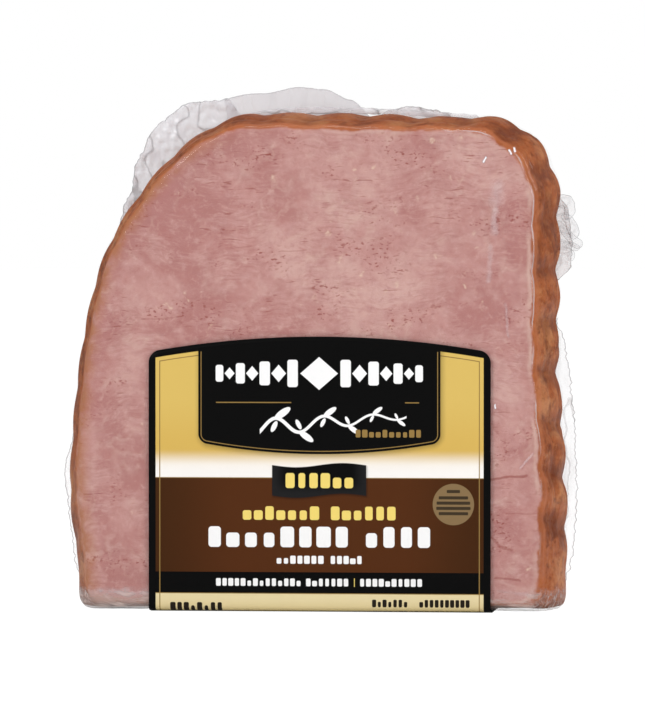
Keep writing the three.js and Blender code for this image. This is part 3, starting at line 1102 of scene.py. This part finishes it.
@dataclass
class FilmFlap:
    """A thin sheet of film that stands out from the rim.

    Attributes:
        form: The slab's form.
        name: The piece's name.
        edge: Pairs of a bearing in degrees and how far the flap reaches beyond the outline there, in mm.
        finish: Its film.
        depth: How far behind the middle it stands.
        root: How far inside the outline it starts.
        thickness: The film's thickness.
        fold: How far its folds push it forwards and back.
        fold_size: How wide the folds are.
        crimp: How far the heat seal's waves move its outer edge.
        lean: How far forwards its outer edge leans.
        seed: Chooses its folds.
    """

    form: SlabForm
    name: str
    edge: tuple[Point, ...]
    finish: LooseFilm
    depth: float = 11.0 * MM
    root: float = 3.0 * MM
    thickness: float = 0.12 * MM
    fold: float = 0.5 * MM
    fold_size: float = 9.0 * MM
    crimp: float = 0.12 * MM
    lean: float = 0.0
    seed: int = 31

    def build(self) -> bpy.types.Object:
        """Builds the flap.

        Its grid runs along the rim and out from it. A point is the rim's, plus the outward normal times how
        far out it is, pushed forwards and back by noise that grows with the distance out.

        Returns:
            The piece.
        """
        form = self.form
        outline = form.outline(1600)
        bearings = np.array([b for b, _ in self.edge])
        reaches = np.array([r for _, r in self.edge]) * MM
        columns, rows = int(np.ptp(bearings) * 6.0), 30
        turned = np.linspace(bearings[0], bearings[-1], columns)
        at = np.clip(np.searchsorted(bearings, turned, side="right") - 1, 0, len(bearings) - 2)
        share = smoothstep(0.0, 1.0, (turned - bearings[at]) / (bearings[at + 1] - bearings[at]))
        reach = lerp(reaches[at], reaches[at + 1], share)
        courses = (outline.x, outline.z, outline.nx, outline.nz)
        x, z, nx, nz = (np.interp(turned, outline.bearing, course) for course in courses)
        share = float(form.inset(np.array(self.depth)))
        x, z = x * (1.0 - share), lerp(z, form.middle[1], share)
        along = np.concatenate([[0.0], np.cumsum(np.hypot(np.diff(x), np.diff(z)))])
        waves = np.stack([along, np.zeros(columns), np.zeros(columns)], axis=-1)
        crimps = wave_noise(waves, 2.2 * MM, self.seed) + 0.5 * wave_noise(waves, 1.2 * MM, 5)
        reach = reach + crimps * self.crimp
        out = lerp(-self.root, reach, np.linspace(0.0, 1.0, rows)[:, None])
        grid = np.stack([np.broadcast_to(along, out.shape), np.zeros(out.shape), out], axis=-1)
        loose = smoothstep(0.0, 4 * MM, out)
        push = wave_noise(grid * np.array([1.0, 1.0, 0.45]), self.fold_size, self.seed + 1) * self.fold
        push += wave_noise(grid, self.fold_size * 0.35, self.seed + 2) * self.fold * 0.3
        y = self.depth + push * loose - self.lean * np.maximum(out, 0.0)
        centre = np.stack([x + nx * out, y, z + nz * out], axis=-1) + np.array(form.shift)
        normal = sheet_normals(centre) * self.thickness / 2
        surface = thin_sheet(centre + normal, centre - normal)
        chart = np.stack([np.broadcast_to(along, out.shape), out], axis=-1).reshape(-1, 2)
        surface.chart = np.concatenate([chart, chart])
        surface.values["rim"] = np.tile(((reach - out) / MM).ravel(), 2)
        piece = surface.make(self.name)
        piece.data.materials.append(self.finish.material())
        return piece


@dataclass
class FilmRoll:
    """A roll of bunched film: a soft tube along a bent line in a plane behind the rim.

    Attributes:
        form: The slab's form.
        name: The piece's name.
        line: Places across and up that the roll passes, in millimetres.
        width: Its width at each of those places, in millimetres.
        finish: Its film.
        depth: How far behind the middle it lies.
        flat: How flat its section is.
        steps: How many rings it is made of.
    """

    form: SlabForm
    name: str
    line: tuple[Point, ...]
    width: tuple[float, ...]
    finish: LooseFilm
    depth: float = 11.0 * MM
    flat: float = 0.8
    steps: int = 46

    def build(self) -> bpy.types.Object:
        """Builds the roll.

        Its line is eased through its places by repeated averaging. Rings of the section are carried along it,
        and its ends are rounded by the root of 1 - the square of how near they are.

        Returns:
            The piece.
        """
        places = np.array(self.line) * MM
        run = np.concatenate([[0.0], np.cumsum(np.linalg.norm(np.diff(places, axis=0), axis=1))])
        steps = self.steps
        at = np.linspace(0.0, run[-1], steps)
        path = np.stack([np.interp(at, run, places[:, 0]), np.interp(at, run, places[:, 1])], axis=-1)
        width = np.interp(at, run, np.array(self.width) * MM)
        for _ in range(24):
            path[1:-1] = (path[:-2] + 2 * path[1:-1] + path[2:]) / 4
            width[1:-1] = (width[:-2] + 2 * width[1:-1] + width[2:]) / 4
        along = np.gradient(path, axis=0)
        along /= np.linalg.norm(along, axis=1, keepdims=True)
        side = np.stack([along[:, 1], np.zeros(steps), -along[:, 0]], axis=-1)
        near = np.minimum(at, run[-1] - at) / (width / 2)
        radius = width / 2 * np.sqrt(np.maximum(0.02, 1.0 - np.maximum(0.0, 1.0 - near) ** 2))
        turn = np.linspace(0.0, 2.0 * math.pi, 28, endpoint=False)
        centre = np.stack([path[:, 0], np.full(steps, self.depth), path[:, 1]], axis=-1)
        across = np.cos(turn)[None, :, None] * side[:, None, :]
        deep = np.sin(turn)[None, :, None] * np.array([0.0, self.flat, 0.0])
        ring = centre[:, None, :] + (across + deep) * radius[:, None, None]
        ring += wave_noise(ring, 2.6 * MM, 41)[..., None] * 0.10 * MM * (across + deep)
        surface = loft(ring + np.array(self.form.shift))
        chart = np.stack(np.broadcast_arrays(at[:, None], (turn * 1.0 * MM)[None, :]), axis=-1).reshape(-1, 2)
        surface.chart = np.concatenate([chart, [[0.0, 0.0], [run[-1], 0.0]]])
        surface.values["rim"] = np.full(len(surface.points), 9.0)
        piece = surface.make(self.name)
        piece.data.materials.append(self.finish.material())
        return piece


@dataclass
class BagEnds:
    """All the loose film round the back half of the rim: two end seals, a ruffle, two flaps and a gather.

    Attributes:
        form: The slab's form.
    """

    form: SlabForm

    def flaps(self) -> list[FilmFlap]:
        """The sheets of loose film."""
        clear = LooseFilm("clear_web", haze=0.07, folds=0.22, grey=0.36, slant=(0.16, 1.0, 1.0))
        milky = LooseFilm("milky_flap", haze=0.44, folds=0.05, grey=0.10, slant=(1.0, 0.16, 1.0))
        crumpled = LooseFilm("crumpled_flap", haze=0.44, folds=0.30, grey=0.14, slant=(0.8, 0.5, 1.0))
        # Painted light: the gather web's haze is whiter than the other film's, to make up for the shade on
        # the right side.
        pale = LooseFilm(
            "brightened_web", haze=0.30, folds=0.16, grey=0.22, milk=(0.95, 0.93, 0.95), slant=(1.0, 0.5, 1.0)
        )
        form = self.form
        return [
            FilmFlap(
                form,
                "right_end_seal",
                ((-47, -1), (-39, 2), (-28, 2.6), (-15, 3.1), (-5, 2.7), (3, 1.6), (10, -1)),
                clear,
                crimp=0.2 * MM,
                seed=51,
            ),
            FilmFlap(
                form,
                "gather_web",
                ((18, -1), (22, 3.2), (26, 3.6), (30, 3.0), (33, 2.4), (36, -1)),
                pale,
                depth=11.8 * MM,
                fold_size=4 * MM,
                seed=54,
            ),
            FilmFlap(
                form,
                "top_ruffle",
                ((62, -1), (67, 2), (72, 3), (77, 1.6), (80, -1)),
                crumpled,
                fold=0.5 * MM,
                fold_size=5 * MM,
                seed=57,
            ),
            FilmFlap(
                form,
                "top_flap",
                ((80, -1), (86, 4.5), (92, 7.4), (98, 8), (106, 6.2), (113, 6.6), (114, 1)),
                milky,
                crimp=0.04 * MM,
                fold=0.25 * MM,
                fold_size=16 * MM,
                seed=60,
            ),
            FilmFlap(
                form,
                "shoulder_flap",
                (
                    *((111, 1), (112.6, 6.8), (121, 11.2), (128, 11.2)),
                    *((134, 8.6), (142, 4.2), (152, 1.4), (160, -1)),
                ),
                crumpled,
                depth=11.7 * MM,
                fold=0.6 * MM,
                fold_size=8 * MM,
                crimp=0.18 * MM,
                seed=63,
            ),
            FilmFlap(
                form,
                "left_end_seal",
                ((190, -1), (197, 2.2), (204, 4), (212, 3.3), (219, 3.6), (226, -1)),
                clear,
                seed=66,
            ),
        ]

    def rolls(self) -> list[FilmRoll]:
        """The rolls of film in the bunched gather on the right."""
        # outline and fold give the rolls strong painted grey shade where they turn away.
        bunched = LooseFilm(
            "bunched_film",
            haze=0.10,
            folds=0.20,
            outline=0.85,
            fold=(0.30, 0.30, 0.31),
            slant=(0.3, 1.0, 1.0),
        )
        lines = (
            (
                ((63.8, 116.4), (66.8, 118.4), (68.8, 117.4), (69.2, 114.6), (67.8, 112.4)),
                (2.6, 3.2, 3.6, 3.0, 1.8),
            ),
            (((66.6, 113.6), (68.8, 112.2), (70.2, 109.4), (70.0, 106.6)), (1.8, 2.8, 3.4, 2.6)),
            (((65.4, 111.8), (67.8, 108.6), (70.0, 106.2), (72.4, 104.4)), (1.8, 2.4, 2.8, 3.4)),
            (((63.4, 106.6), (67.2, 105.4), (71.8, 103.8)), (1.6, 1.9, 2.2)),
            (((63.4, 102.4), (67.2, 103.6), (69.8, 102.2), (68.6, 100.4)), (1.5, 2.2, 2.4, 1.8)),
        )
        form = self.form
        return [
            FilmRoll(form, f"gather_roll_{number}", line, width, bunched, depth=(10.4 + 0.5 * number) * MM)
            for number, (line, width) in enumerate(lines, 1)
        ] + [
            FilmRoll(
                form,
                "crest_fold",
                ((-24.5, 142.6), (-15.0, 143.7), (-3.0, 143.9), (11.0, 143.8), (27.0, 143.0), (43.0, 142.0)),
                (1.2, 1.9, 2.1, 1.8, 1.6, 1.2),
                LooseFilm("crest_film", haze=0.30, folds=0.55, outline=0.40, slant=(0.25, 1.0, 1.0)),
                depth=5.0 * MM,
                steps=120,
            )
        ]

    def build(self) -> list[bpy.types.Object]:
        """Builds every sheet and roll."""
        return [piece.build() for piece in (*self.flaps(), *self.rolls())]


# ---------------------------------------------------------------------------------------------------------
# The label
# ---------------------------------------------------------------------------------------------------------


class Press:
    """Prints shapes one over another on the label. Its places are millimetres across and up the chart."""

    def __init__(self, tree: Tree, ground: Colour) -> None:
        """Starts with the ground colour all over."""
        self.tree = tree
        chart = tree.node("ShaderNodeUVMap", {"uv_map": "chart"}).outputs[0]
        self.across, self.up, _ = tree.parts(tree.scaled(chart, (1.0 / MM, 1.0 / MM, 0.0)))
        self.colour = tree.blend(0.0, ground, ground)

    def box(self, centre: Point, half: Point, corner: float = 0.0, up: Value | None = None) -> Value:
        """The distance from a rounded box's edge, negative inside it.

        With d the distance from the centre less the half size, part by part, it is the length of what is
        positive in d, plus the larger part of d where both are negative, less the corner radius.

        Args:
            centre: The box's middle.
            half: Half its width and height.
            corner: The radius of its corners.
            up: The height to use instead of the chart's, for a bent box.

        Returns:
            The distance in millimetres.
        """
        dx = abs(self.across - centre[0]) - (half[0] - corner)
        dy = abs((up or self.up) - centre[1]) - (half[1] - corner)
        return self.rounded(dx, dy, corner)

    def rounded(self, dx: Value, dy: Value, corner: float) -> Value:
        """The distance from a rounded box's edge for the d of box, part by part."""
        outside = (dx.at_least(0.0) ** 2.0 + dy.at_least(0.0) ** 2.0) ** 0.5
        return outside + dx.at_least(dy).at_most(0.0) - corner

    def ellipse(self, centre: Point, size: Point, tilt: float) -> Value:
        """The rough distance from a tilted ellipse's edge: its scaled radius less 1, times its mean size."""
        cos, sin = math.cos(tilt), math.sin(tilt)
        dx, dy = self.across - centre[0], self.up - centre[1]
        a, b = (dx * cos + dy * sin) / size[0], (dy * cos - dx * sin) / size[1]
        return ((a * a + b * b) ** 0.5 - 1.0) * ((size[0] + size[1]) / 2)

    def fill(
        self, away: Value, ink: Colour | bpy.types.NodeSocket, cover: float = 1.0, soft: float = 0.07
    ) -> None:
        """Lays ink wherever the distance is negative.

        Args:
            away: The distance from the shape's edge.
            ink: The colour.
            cover: How much it covers.
            soft: Half the width over which its edge fades.
        """
        share = away.step(soft, -soft)
        self.colour = self.tree.blend(share * cover if cover < 1.0 else share, self.colour, ink)

    def rule(self, away: Value, width: float, ink: Colour, inside: Value | None = None) -> None:
        """Lays a line of that width along a shape's edge, only where inside is negative if it is given."""
        line = abs(away) - width / 2
        self.fill(line.at_least(inside) if inside else line, ink)

    def tiles(
        self, spans: tuple[Point, ...], foot: float, top: float, pitch: float, ink: Colour, seed: int
    ) -> None:
        """A row of rounded tiles of uneven widths.

        Each cell of the row holds one tile. A random number from the cell's own number sets its width and
        whether it is full height or a low one.

        Args:
            spans: Where the row's stretches start and end across.
            foot: Height of the row's foot.
            top: Height of its top.
            pitch: Width of one cell.
            ink: The colour.
            seed: Chooses the widths.
        """
        tree = self.tree
        tall, corner = (top - foot) / 2, 0.16 * (top - foot)
        for number, (start, end) in enumerate(spans):
            count = max(1, round((end - start) / pitch))
            cells = (self.across - start) * (count / (end - start))
            cell = cells.math("FLOOR")
            inputs = {"W": cell + (seed + number * 0.37)}
            random = tree.node("ShaderNodeTexWhiteNoise", {"noise_dimensions": "1D"}, inputs)
            width, height, _ = tree.parts(random.outputs["Color"])
            local = (cells - cell - 0.5) * ((end - start) / count)
            low = height.math("LESS_THAN", 0.30) * (0.30 * tall)
            dx = abs(local) - (width * (0.13 * pitch) + (0.29 * pitch - corner))
            dy = abs(self.up - (foot + tall) + low) - (tall - corner - low)
            within = abs(self.across - (start + end) / 2) - (end - start) / 2
            self.fill(self.rounded(dx, dy, corner).at_least(within), ink, soft=0.05)


@dataclass(frozen=True)
class PrintedStock:
    """The label's print: gold over brown in a black frame, with plain ornaments in place of lettering."""

    gold: Colour = (0.700, 0.490, 0.132)
    gold_deep: Colour = (0.670, 0.445, 0.108)
    cream: Colour = (0.920, 0.860, 0.780)
    white: Colour = (0.930, 0.930, 0.930)
    brown: Colour = (0.088, 0.028, 0.009)
    brown_deep: Colour = (0.058, 0.021, 0.007)
    black: Colour = (0.004, 0.004, 0.004)
    charcoal: Colour = (0.016, 0.016, 0.017)
    rule: Colour = (0.300, 0.190, 0.060)
    yellow: Colour = (0.870, 0.680, 0.180)
    strip: Colour = (0.800, 0.680, 0.400)
    strip_deep: Colour = (0.700, 0.570, 0.290)
    seal: Colour = (0.240, 0.158, 0.075)
    dark: Colour = (0.020, 0.016, 0.012)

    def fields(self, press: Press, arch: Value) -> None:
        """The frame and its coloured fields."""
        height = press.up
        gold = press.tree.blend(height.step(62.0, 46.0), self.gold, self.gold_deep)
        fade = press.tree.blend(height.step(46.8, 41.6), gold, self.cream)
        fade = press.tree.blend(height.step(43.5, 39.5) * 0.6, fade, self.white)
        inner = (abs(press.across) - 47.0).at_least(height - arch + 2.0)
        press.fill(inner.at_least(38.5 - height), fade)
        brown = press.tree.blend(abs(press.across).step(22.0, 47.0), self.brown, self.brown_deep)
        press.fill(inner.at_least(height - 38.5).at_least(11.6 - height), brown)
        press.rule(height - 38.5, 0.22, self.rule, inner)
        strip = press.tree.blend(height.step(4.6, 0.2), self.strip, self.strip_deep)
        press.fill(inner.at_least(height - 5.5), strip)
        press.rule(height - 5.5, 0.22, self.rule, inner)
        pinstripe = (abs(press.across) - 45.8).at_least(height - arch + 3.2)
        press.rule(pinstripe, 0.28, self.rule, inner)

    def plaque(self, press: Press, arch: Value) -> None:
        """The black plaque that hangs from the frame, with its soft shadow and its gold line."""
        bent = press.up - (press.across * press.across) * (3.3 / 34.7**2)
        box = press.box((0.0, 67.3), (34.7, 22.0), 2.4, bent)
        shade = press.box((0.3, 66.7), (34.9, 22.0), 2.6, bent)
        below = press.up - arch + 2.0
        press.fill(shade.at_least(below), self.dark, cover=0.55, soft=1.5)
        press.fill(box.at_least(below - 1.0), self.black)
        press.rule(box + 0.8, 0.24, self.rule, below + 0.2)

    def ornament(self, press: Press) -> None:
        """A row of white lozenges and slabs that taper away from the middle, between the plaque's sides."""
        middle, corner = 68.3, 0.7
        press.fill((abs(press.across) / 1.15 + abs(press.up - middle) - 4.7) * 0.75, self.white)
        side = abs(press.across)
        for at, wide, tall in ((7.6, 1.5, 3.9), (15.6, 1.5, 3.4), (22.6, 1.3, 2.9), (28.6, 1.1, 2.4)):
            dx, dy = abs(side - at) - (wide - corner), abs(press.up - middle) - (tall - corner)
            press.fill(press.rounded(dx, dy, corner), self.white)
        for at, size in ((11.6, 2.5), (19.2, 2.1), (25.7, 1.7)):
            press.fill((abs(side - at) / 0.85 + abs(press.up - middle) - size) * 0.75, self.white)

    def flourish(self, press: Press) -> None:
        """A white vine: a stem that waves as a sine and thins to the right, with a leaf off every bend."""
        across, turns = press.across, 2.0 * math.pi / 14.0
        swing = across.step(26.0, -16.0) * 1.5 + 0.9
        middle = across * 0.085 + 54.2
        angle = across * turns + 0.9
        slope = angle.math("COSINE") * swing * turns
        away = abs(press.up - middle - angle.math("SINE") * swing) / (slope * slope + 1.0) ** 0.5
        ends = abs(across - 4.0) - 21.0
        press.fill((away - across.step(26.0, -16.0) * 0.22 - 0.28).at_least(ends), self.white)
        for at, side in ((-12.5, 1), (-5.5, -1), (1.5, 1), (8.5, -1), (15.5, 1), (22.5, -1)):
            big = 1.0 - (at + 12.5) * 0.014
            bend = 54.2 + at * 0.085 + side * (2.3 - (at + 12.5) * 0.035)
            leaf = press.ellipse((at + 2.0 * big, bend + side * 1.5 * big), (2.7 * big, big), side * 0.62)
            bud = press.ellipse((at - 0.4, bend - side * 2.3 * big), (1.7 * big, 0.7 * big), side * 1.1)
            press.fill(leaf.at_most(bud), self.white)
        beside = (abs(across + 18.8) - 10.8).at_most(abs(across - 26.6) - 2.0)
        press.rule(press.up - 60.0, 0.3, self.rule, beside)

    def ribbon(self, press: Press) -> None:
        """The charcoal ribbon, bent in an S: its height is pushed by a sine of the place across."""
        bend = (press.across * (2.0 * math.pi / 27.0)).math("SINE") * 0.62
        bent = press.up - bend
        box = press.box((0.0, 37.8), (13.5, 4.35), 0.0, bent)
        press.fill(press.box((0.2, 37.5), (13.6, 4.5), 0.3, bent), self.black, cover=0.5, soft=0.5)
        ink = press.tree.blend(press.up.step(38.0, 33.5), self.black, self.charcoal)
        ink = press.tree.blend(abs(press.across).step(9.0, 13.5), ink, self.charcoal)
        press.fill(box, ink)

    def rows(self, press: Press) -> None:
        """The rows of tiles that stand where wording would."""
        press.tiles(((-10.0, 10.2),), 35.6, 39.9, 3.3, self.yellow, 3)
        press.tiles(((10.2, 29.4),), 50.1, 52.3, 1.9, self.rule, 5)
        press.tiles(((-22.3, 0.3), (3.0, 22.3)), 26.5, 30.4, 3.4, self.yellow, 7)
        press.tiles(((-32.6, 9.1), (12.5, 32.5)), 18.7, 24.6, 5.0, self.white, 9)
        press.tiles(((-12.5, 1.5), (3.0, 12.5)), 14.0, 16.3, 2.0, self.white, 11)
        press.tiles(((-29.8, -5.0), (-4.0, 8.6), (11.4, 29.7)), 7.6, 9.8, 1.75, self.white, 13)
        press.fill(press.box((10.1, 8.7), (0.1, 1.2)), self.yellow)
        press.tiles(((-43.0, -27.6),), 0.1, 2.9, 1.9, self.dark, 15)
        press.tiles(((15.0, 25.5), (28.5, 43.2)), 1.9, 3.9, 1.5, self.dark, 17)
        press.tiles(((15.0, 43.2),), -1.1, 0.6, 1.5, self.dark, 19)

    def disc(self, press: Press) -> None:
        """The small gold seal with its bars."""
        dx, dy = press.across - 38.4, press.up - 31.1
        press.fill((dx * dx + dy * dy) ** 0.5 - 5.9, self.seal)
        for height, half in ((3.7, 1.9), (1.9, 4.2), (0.4, 4.8), (-1.1, 4.9), (-2.6, 4.2)):
            press.fill(press.box((38.4, 31.1 + height), (half, 0.45), 0.25), self.dark, cover=0.85)

    def material(self) -> bpy.types.Material:
        """Builds the material.

        Returns:
            The label's material.
        """
        tree = Tree("printed_stock")
        press = Press(tree, self.black)
        arch = 78.8 - press.across * press.across * (4.4 / 49.0**2)
        self.fields(press, arch)
        self.plaque(press, arch)
        self.ornament(press)
        self.flourish(press)
        self.ribbon(press)
        self.rows(press)
        self.disc(press)
        place = tree.place()
        relief = tree.noise(place, 14.0, 2.0) * 2.0 + tree.noise(place, 0.5, 2.0) * 0.05
        shader = tree.node(
            "ShaderNodeBsdfPrincipled",
            None,
            {
                "Base Color": press.colour,
                "Roughness": tree.noise(place, 5.0, 2.0) * 0.08 + 0.30,
                "Specular IOR Level": 0.03,
                "Normal": tree.bump(relief, 0.15 * MM, 0.4),
            },
        )
        return tree.finish(shader.outputs[0])


@dataclass
class Label:
    """The printed label, which runs down the front, round the lower edge and under the base.

    Attributes:
        form: The slab's form.
        width: Its width.
        top: Height of the middle of its arched top.
        arch: How far the arch drops at the sides.
        corner: The radius of its top corners.
        gap: Between the film and its back.
        thickness: Its thickness.
        tail: How far behind the face it ends.
    """

    form: SlabForm
    width: float = 98.0 * MM
    top: float = 78.8 * MM
    arch: float = 4.4 * MM
    corner: float = 3.0 * MM
    gap: float = 0.3 * MM
    thickness: float = 0.4 * MM
    tail: float = 42.0 * MM

    def way(self) -> np.ndarray:
        """The film's line that the label follows: down the face, round the rim and back under the base.

        Returns:
            Rows of depth and height, from the label's top.
        """
        form = self.form
        rings = form.rings(2, 9, np.arange(-27.0, 4.0, 0.6)[::-1] * MM)[::-1]
        bend = rings[(rings[:, 0] < form.widest) & (rings[:, 1] < 0.2)]
        floor = form.base - form.sag
        height = np.maximum(form.base, lerp(floor, form.middle[1], bend[:, 1] * 0.3))
        below = int(np.argmax(height <= form.base)) + 1
        face = -form.depth / 2
        bent = np.stack([bend[:below, 0], height[:below]], axis=-1)
        return np.concatenate([[[face, self.top]], bent, [[face + self.tail, form.base]]])

    def build(self) -> bpy.types.Object:
        """Builds the label.

        Its rows are spread along the way from the arched top to the tail. Each point stands off the film's
        line by its lift along the line's normal. The chart holds the place across, and the top's height less
        the run, so that print keeps its height on the face.

        Returns:
            The piece.
        """
        way = self.way()
        run = np.concatenate([[0.0], np.cumsum(np.linalg.norm(np.diff(way, axis=0), axis=1))])
        half = self.width / 2
        across = half * np.sin(np.linspace(-math.pi / 2, math.pi / 2, 121))
        over = np.maximum(0.0, np.abs(across) - half + self.corner)
        drop = self.arch * (across / half) ** 2 + self.corner - np.sqrt(self.corner**2 - over**2)
        flat = run[1] - 4 * MM
        share = np.concatenate([np.linspace(0, 1, 50, endpoint=False), np.ones(110)])[:, None]
        beyond = np.concatenate([np.zeros(50), np.linspace(0.0, 1.0, 110) ** 1.6])[:, None]
        along = lerp(drop, flat, share) + (run[-1] - flat) * beyond
        y, z = np.interp(along, run, way[:, 0]), np.interp(along, run, way[:, 1])
        step = 0.35 * MM
        ahead = [
            np.interp(along + step, run, course) - np.interp(along - step, run, course)
            for course in way.T[:2]
        ]
        size = np.hypot(*ahead)
        ny, nz = ahead[1] / size, -ahead[0] / size
        x = np.broadcast_to(across, along.shape)
        shift = np.array(self.form.shift)
        sides = [
            np.stack([x, y + ny * lift, z + nz * lift], axis=-1) + shift
            for lift in (self.gap + self.thickness, self.gap)
        ]
        sides = [np.maximum(side, np.array([-1.0, -1.0, 0.0])) for side in sides]
        surface = thin_sheet(*sides)
        chart = np.stack([x, self.top - along], axis=-1).reshape(-1, 2)
        surface.chart = np.concatenate([chart, chart])
        piece = surface.make("printed_label")
        piece.data.materials.append(PrintedStock().material())
        return piece


# ---------------------------------------------------------------------------------------------------------
# The studio
# ---------------------------------------------------------------------------------------------------------


@dataclass(frozen=True)
class Lamp:
    """A soft square lamp.

    Attributes:
        name: Its name.
        place: Where it hangs, in metres.
        size: Its width.
        power: Its power in watts.
    """

    name: str
    place: tuple[float, float, float]
    size: float
    power: float


@dataclass
class Studio:
    """A white sweep, soft lamps and the camera.

    Attributes:
        azimuth: How far round to the right the camera stands, in degrees.
        elevation: How far up it stands, in degrees.
        lens: Its focal length in millimetres, on a sensor 36 mm along the long side.
        frame: How much of the pack's height the long side takes in.
        aim: What it looks at, across and up from the pack's own middle and foot.
        lamps: The lamps.
        dim: How bright the room is where no lamp is seen.
    """

    azimuth: float = 6.0
    elevation: float = 1.0
    lens: float = 300.0
    frame: float = 202.1 * MM
    aim: Point = (0.9 * MM, 73.7 * MM)
    dim: float = 0.36
    lamps: tuple[Lamp, ...] = (
        Lamp("key", (-1.05, -1.25, 1.15), 0.9, 16.2),
        Lamp("fill", (1.35, -1.05, 0.55), 0.8, 9.0),
        Lamp("top", (0.05, 0.10, 1.30), 0.7, 7.0),
        Lamp("rim", (1.10, 0.75, 0.70), 0.6, 5.0),
    )

    def sweep(self) -> bpy.types.Object:
        """The floor: a wide plain square, white to the camera but for a faint shadow.

        Returns:
            The floor.
        """
        corners = [(-6.0, -6.0, 0.0), (6.0, -6.0, 0.0), (6.0, 30.0, 0.0), (-6.0, 30.0, 0.0)]
        mesh = bpy.data.meshes.new("sweep")
        mesh.from_pydata(corners, [], [(0, 1, 2, 3)])
        tree = Tree("sweep")
        seen = Value(tree, tree.node("ShaderNodeLightPath").outputs["Is Camera Ray"])
        plain = tree.node("ShaderNodeBsdfDiffuse", None, {"Color": (0.86, 0.86, 0.86)})
        white = tree.node("ShaderNodeEmission", None, {"Color": (1.0, 1.0, 1.0), "Strength": 1.10})
        both = tree.mixed(seen * 0.93, plain.outputs[0], white.outputs[0])
        mesh.materials.append(tree.finish(both))
        floor = bpy.data.objects.new("sweep", mesh)
        bpy.context.scene.collection.objects.link(floor)
        return floor

    def sky(self) -> None:
        """Makes the room: white to the camera, and dim to everything that it lights."""
        world = bpy.data.worlds.new("room")
        world.use_nodes = True
        nodes, links = world.node_tree.nodes, world.node_tree.links
        nodes.clear()
        path, out = nodes.new("ShaderNodeLightPath"), nodes.new("ShaderNodeOutputWorld")
        glow, white = (nodes.new("ShaderNodeBackground") for _ in range(2))
        both = nodes.new("ShaderNodeMixShader")
        glow.inputs[0].default_value, glow.inputs[1].default_value = (1.0, 1.0, 1.0, 1.0), self.dim
        white.inputs[0].default_value, white.inputs[1].default_value = (1.0, 1.0, 1.0, 1.0), 1.0
        links.new(path.outputs["Is Camera Ray"], both.inputs[0])
        links.new(glow.outputs[0], both.inputs[1])
        links.new(white.outputs[0], both.inputs[2])
        links.new(both.outputs[0], out.inputs[0])
        bpy.context.scene.world = world

    def light(self, target: Vector) -> None:
        """Hangs the lamps, each turned to the target."""
        for lamp in self.lamps:
            data = bpy.data.lights.new(lamp.name, "AREA")
            data.shape, data.size, data.energy = "SQUARE", lamp.size, lamp.power
            light = bpy.data.objects.new(lamp.name, data)
            light.location = lamp.place
            light.rotation_euler = (target - Vector(lamp.place)).to_track_quat("-Z", "Y").to_euler()
            light.visible_camera = False
            bpy.context.scene.collection.objects.link(light)

    def camera(self, shift: Vector, face: float) -> None:
        """Stands the camera so that its long side takes in the frame at the pack's face.

        The distance is the frame times the focal length over the sensor's 36 mm.

        Args:
            shift: Where the pack's own middle lies.
            face: How far in front of it the face is.
        """
        data = bpy.data.cameras.new("camera")
        data.lens, data.sensor_width, data.clip_end = self.lens, 36.0, 200.0
        distance = self.frame * self.lens / 36.0
        turn, rise = math.radians(self.azimuth), math.radians(self.elevation)
        away = Vector((math.sin(turn) * math.cos(rise), -math.cos(turn) * math.cos(rise), math.sin(rise)))
        target = Vector((self.aim[0], -face, self.aim[1])) + shift
        camera = bpy.data.objects.new("camera", data)
        camera.location = target + away * distance
        camera.rotation_euler = (-away).to_track_quat("-Z", "Y").to_euler()
        bpy.context.scene.collection.objects.link(camera)
        bpy.context.scene.camera = camera

    def build(self, shift: Vector, face: float) -> None:
        """Builds the floor, the room, the lamps and the camera."""
        self.sweep()
        self.sky()
        self.light(Vector((0.0, 0.0, 0.07)))
        self.camera(shift, face)
        bpy.context.scene.view_settings.view_transform = "Standard"


# ---------------------------------------------------------------------------------------------------------
# The whole pack
# ---------------------------------------------------------------------------------------------------------


def design_shift() -> Vector:
    """Where the design's own middle lies: the label is centred on it, and its front is a known way ahead."""
    low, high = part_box("label")
    return Vector(((low[0] + high[0]) / 2, low[1] + 27.7 * MM, 0.0))


def main() -> None:
    """Builds the pack and the studio, and reports each piece."""
    logging.basicConfig(level=logging.INFO, format="%(name)s: %(message)s")
    shift = design_shift()
    form = SlabForm(shift)
    pieces = [(Ham(form).build(), "sealed_bag", Slot.HAM), (TightBag(form).build(), None, Slot.FILM)]
    pieces += [(piece, None, Slot.FILM) for piece in BagEnds(form).build()]
    pieces.append((Label(form).build(), "label", Slot.LABEL))
    for piece, node, slot in pieces:
        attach(piece, "root")
        if node:
            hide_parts(node)
        LOG.info("%s: %d faces, slot %s", piece.name, len(piece.data.polygons), slot.value)
    Studio().build(shift, form.depth / 2)


if __name__ == "__main__":
    main()
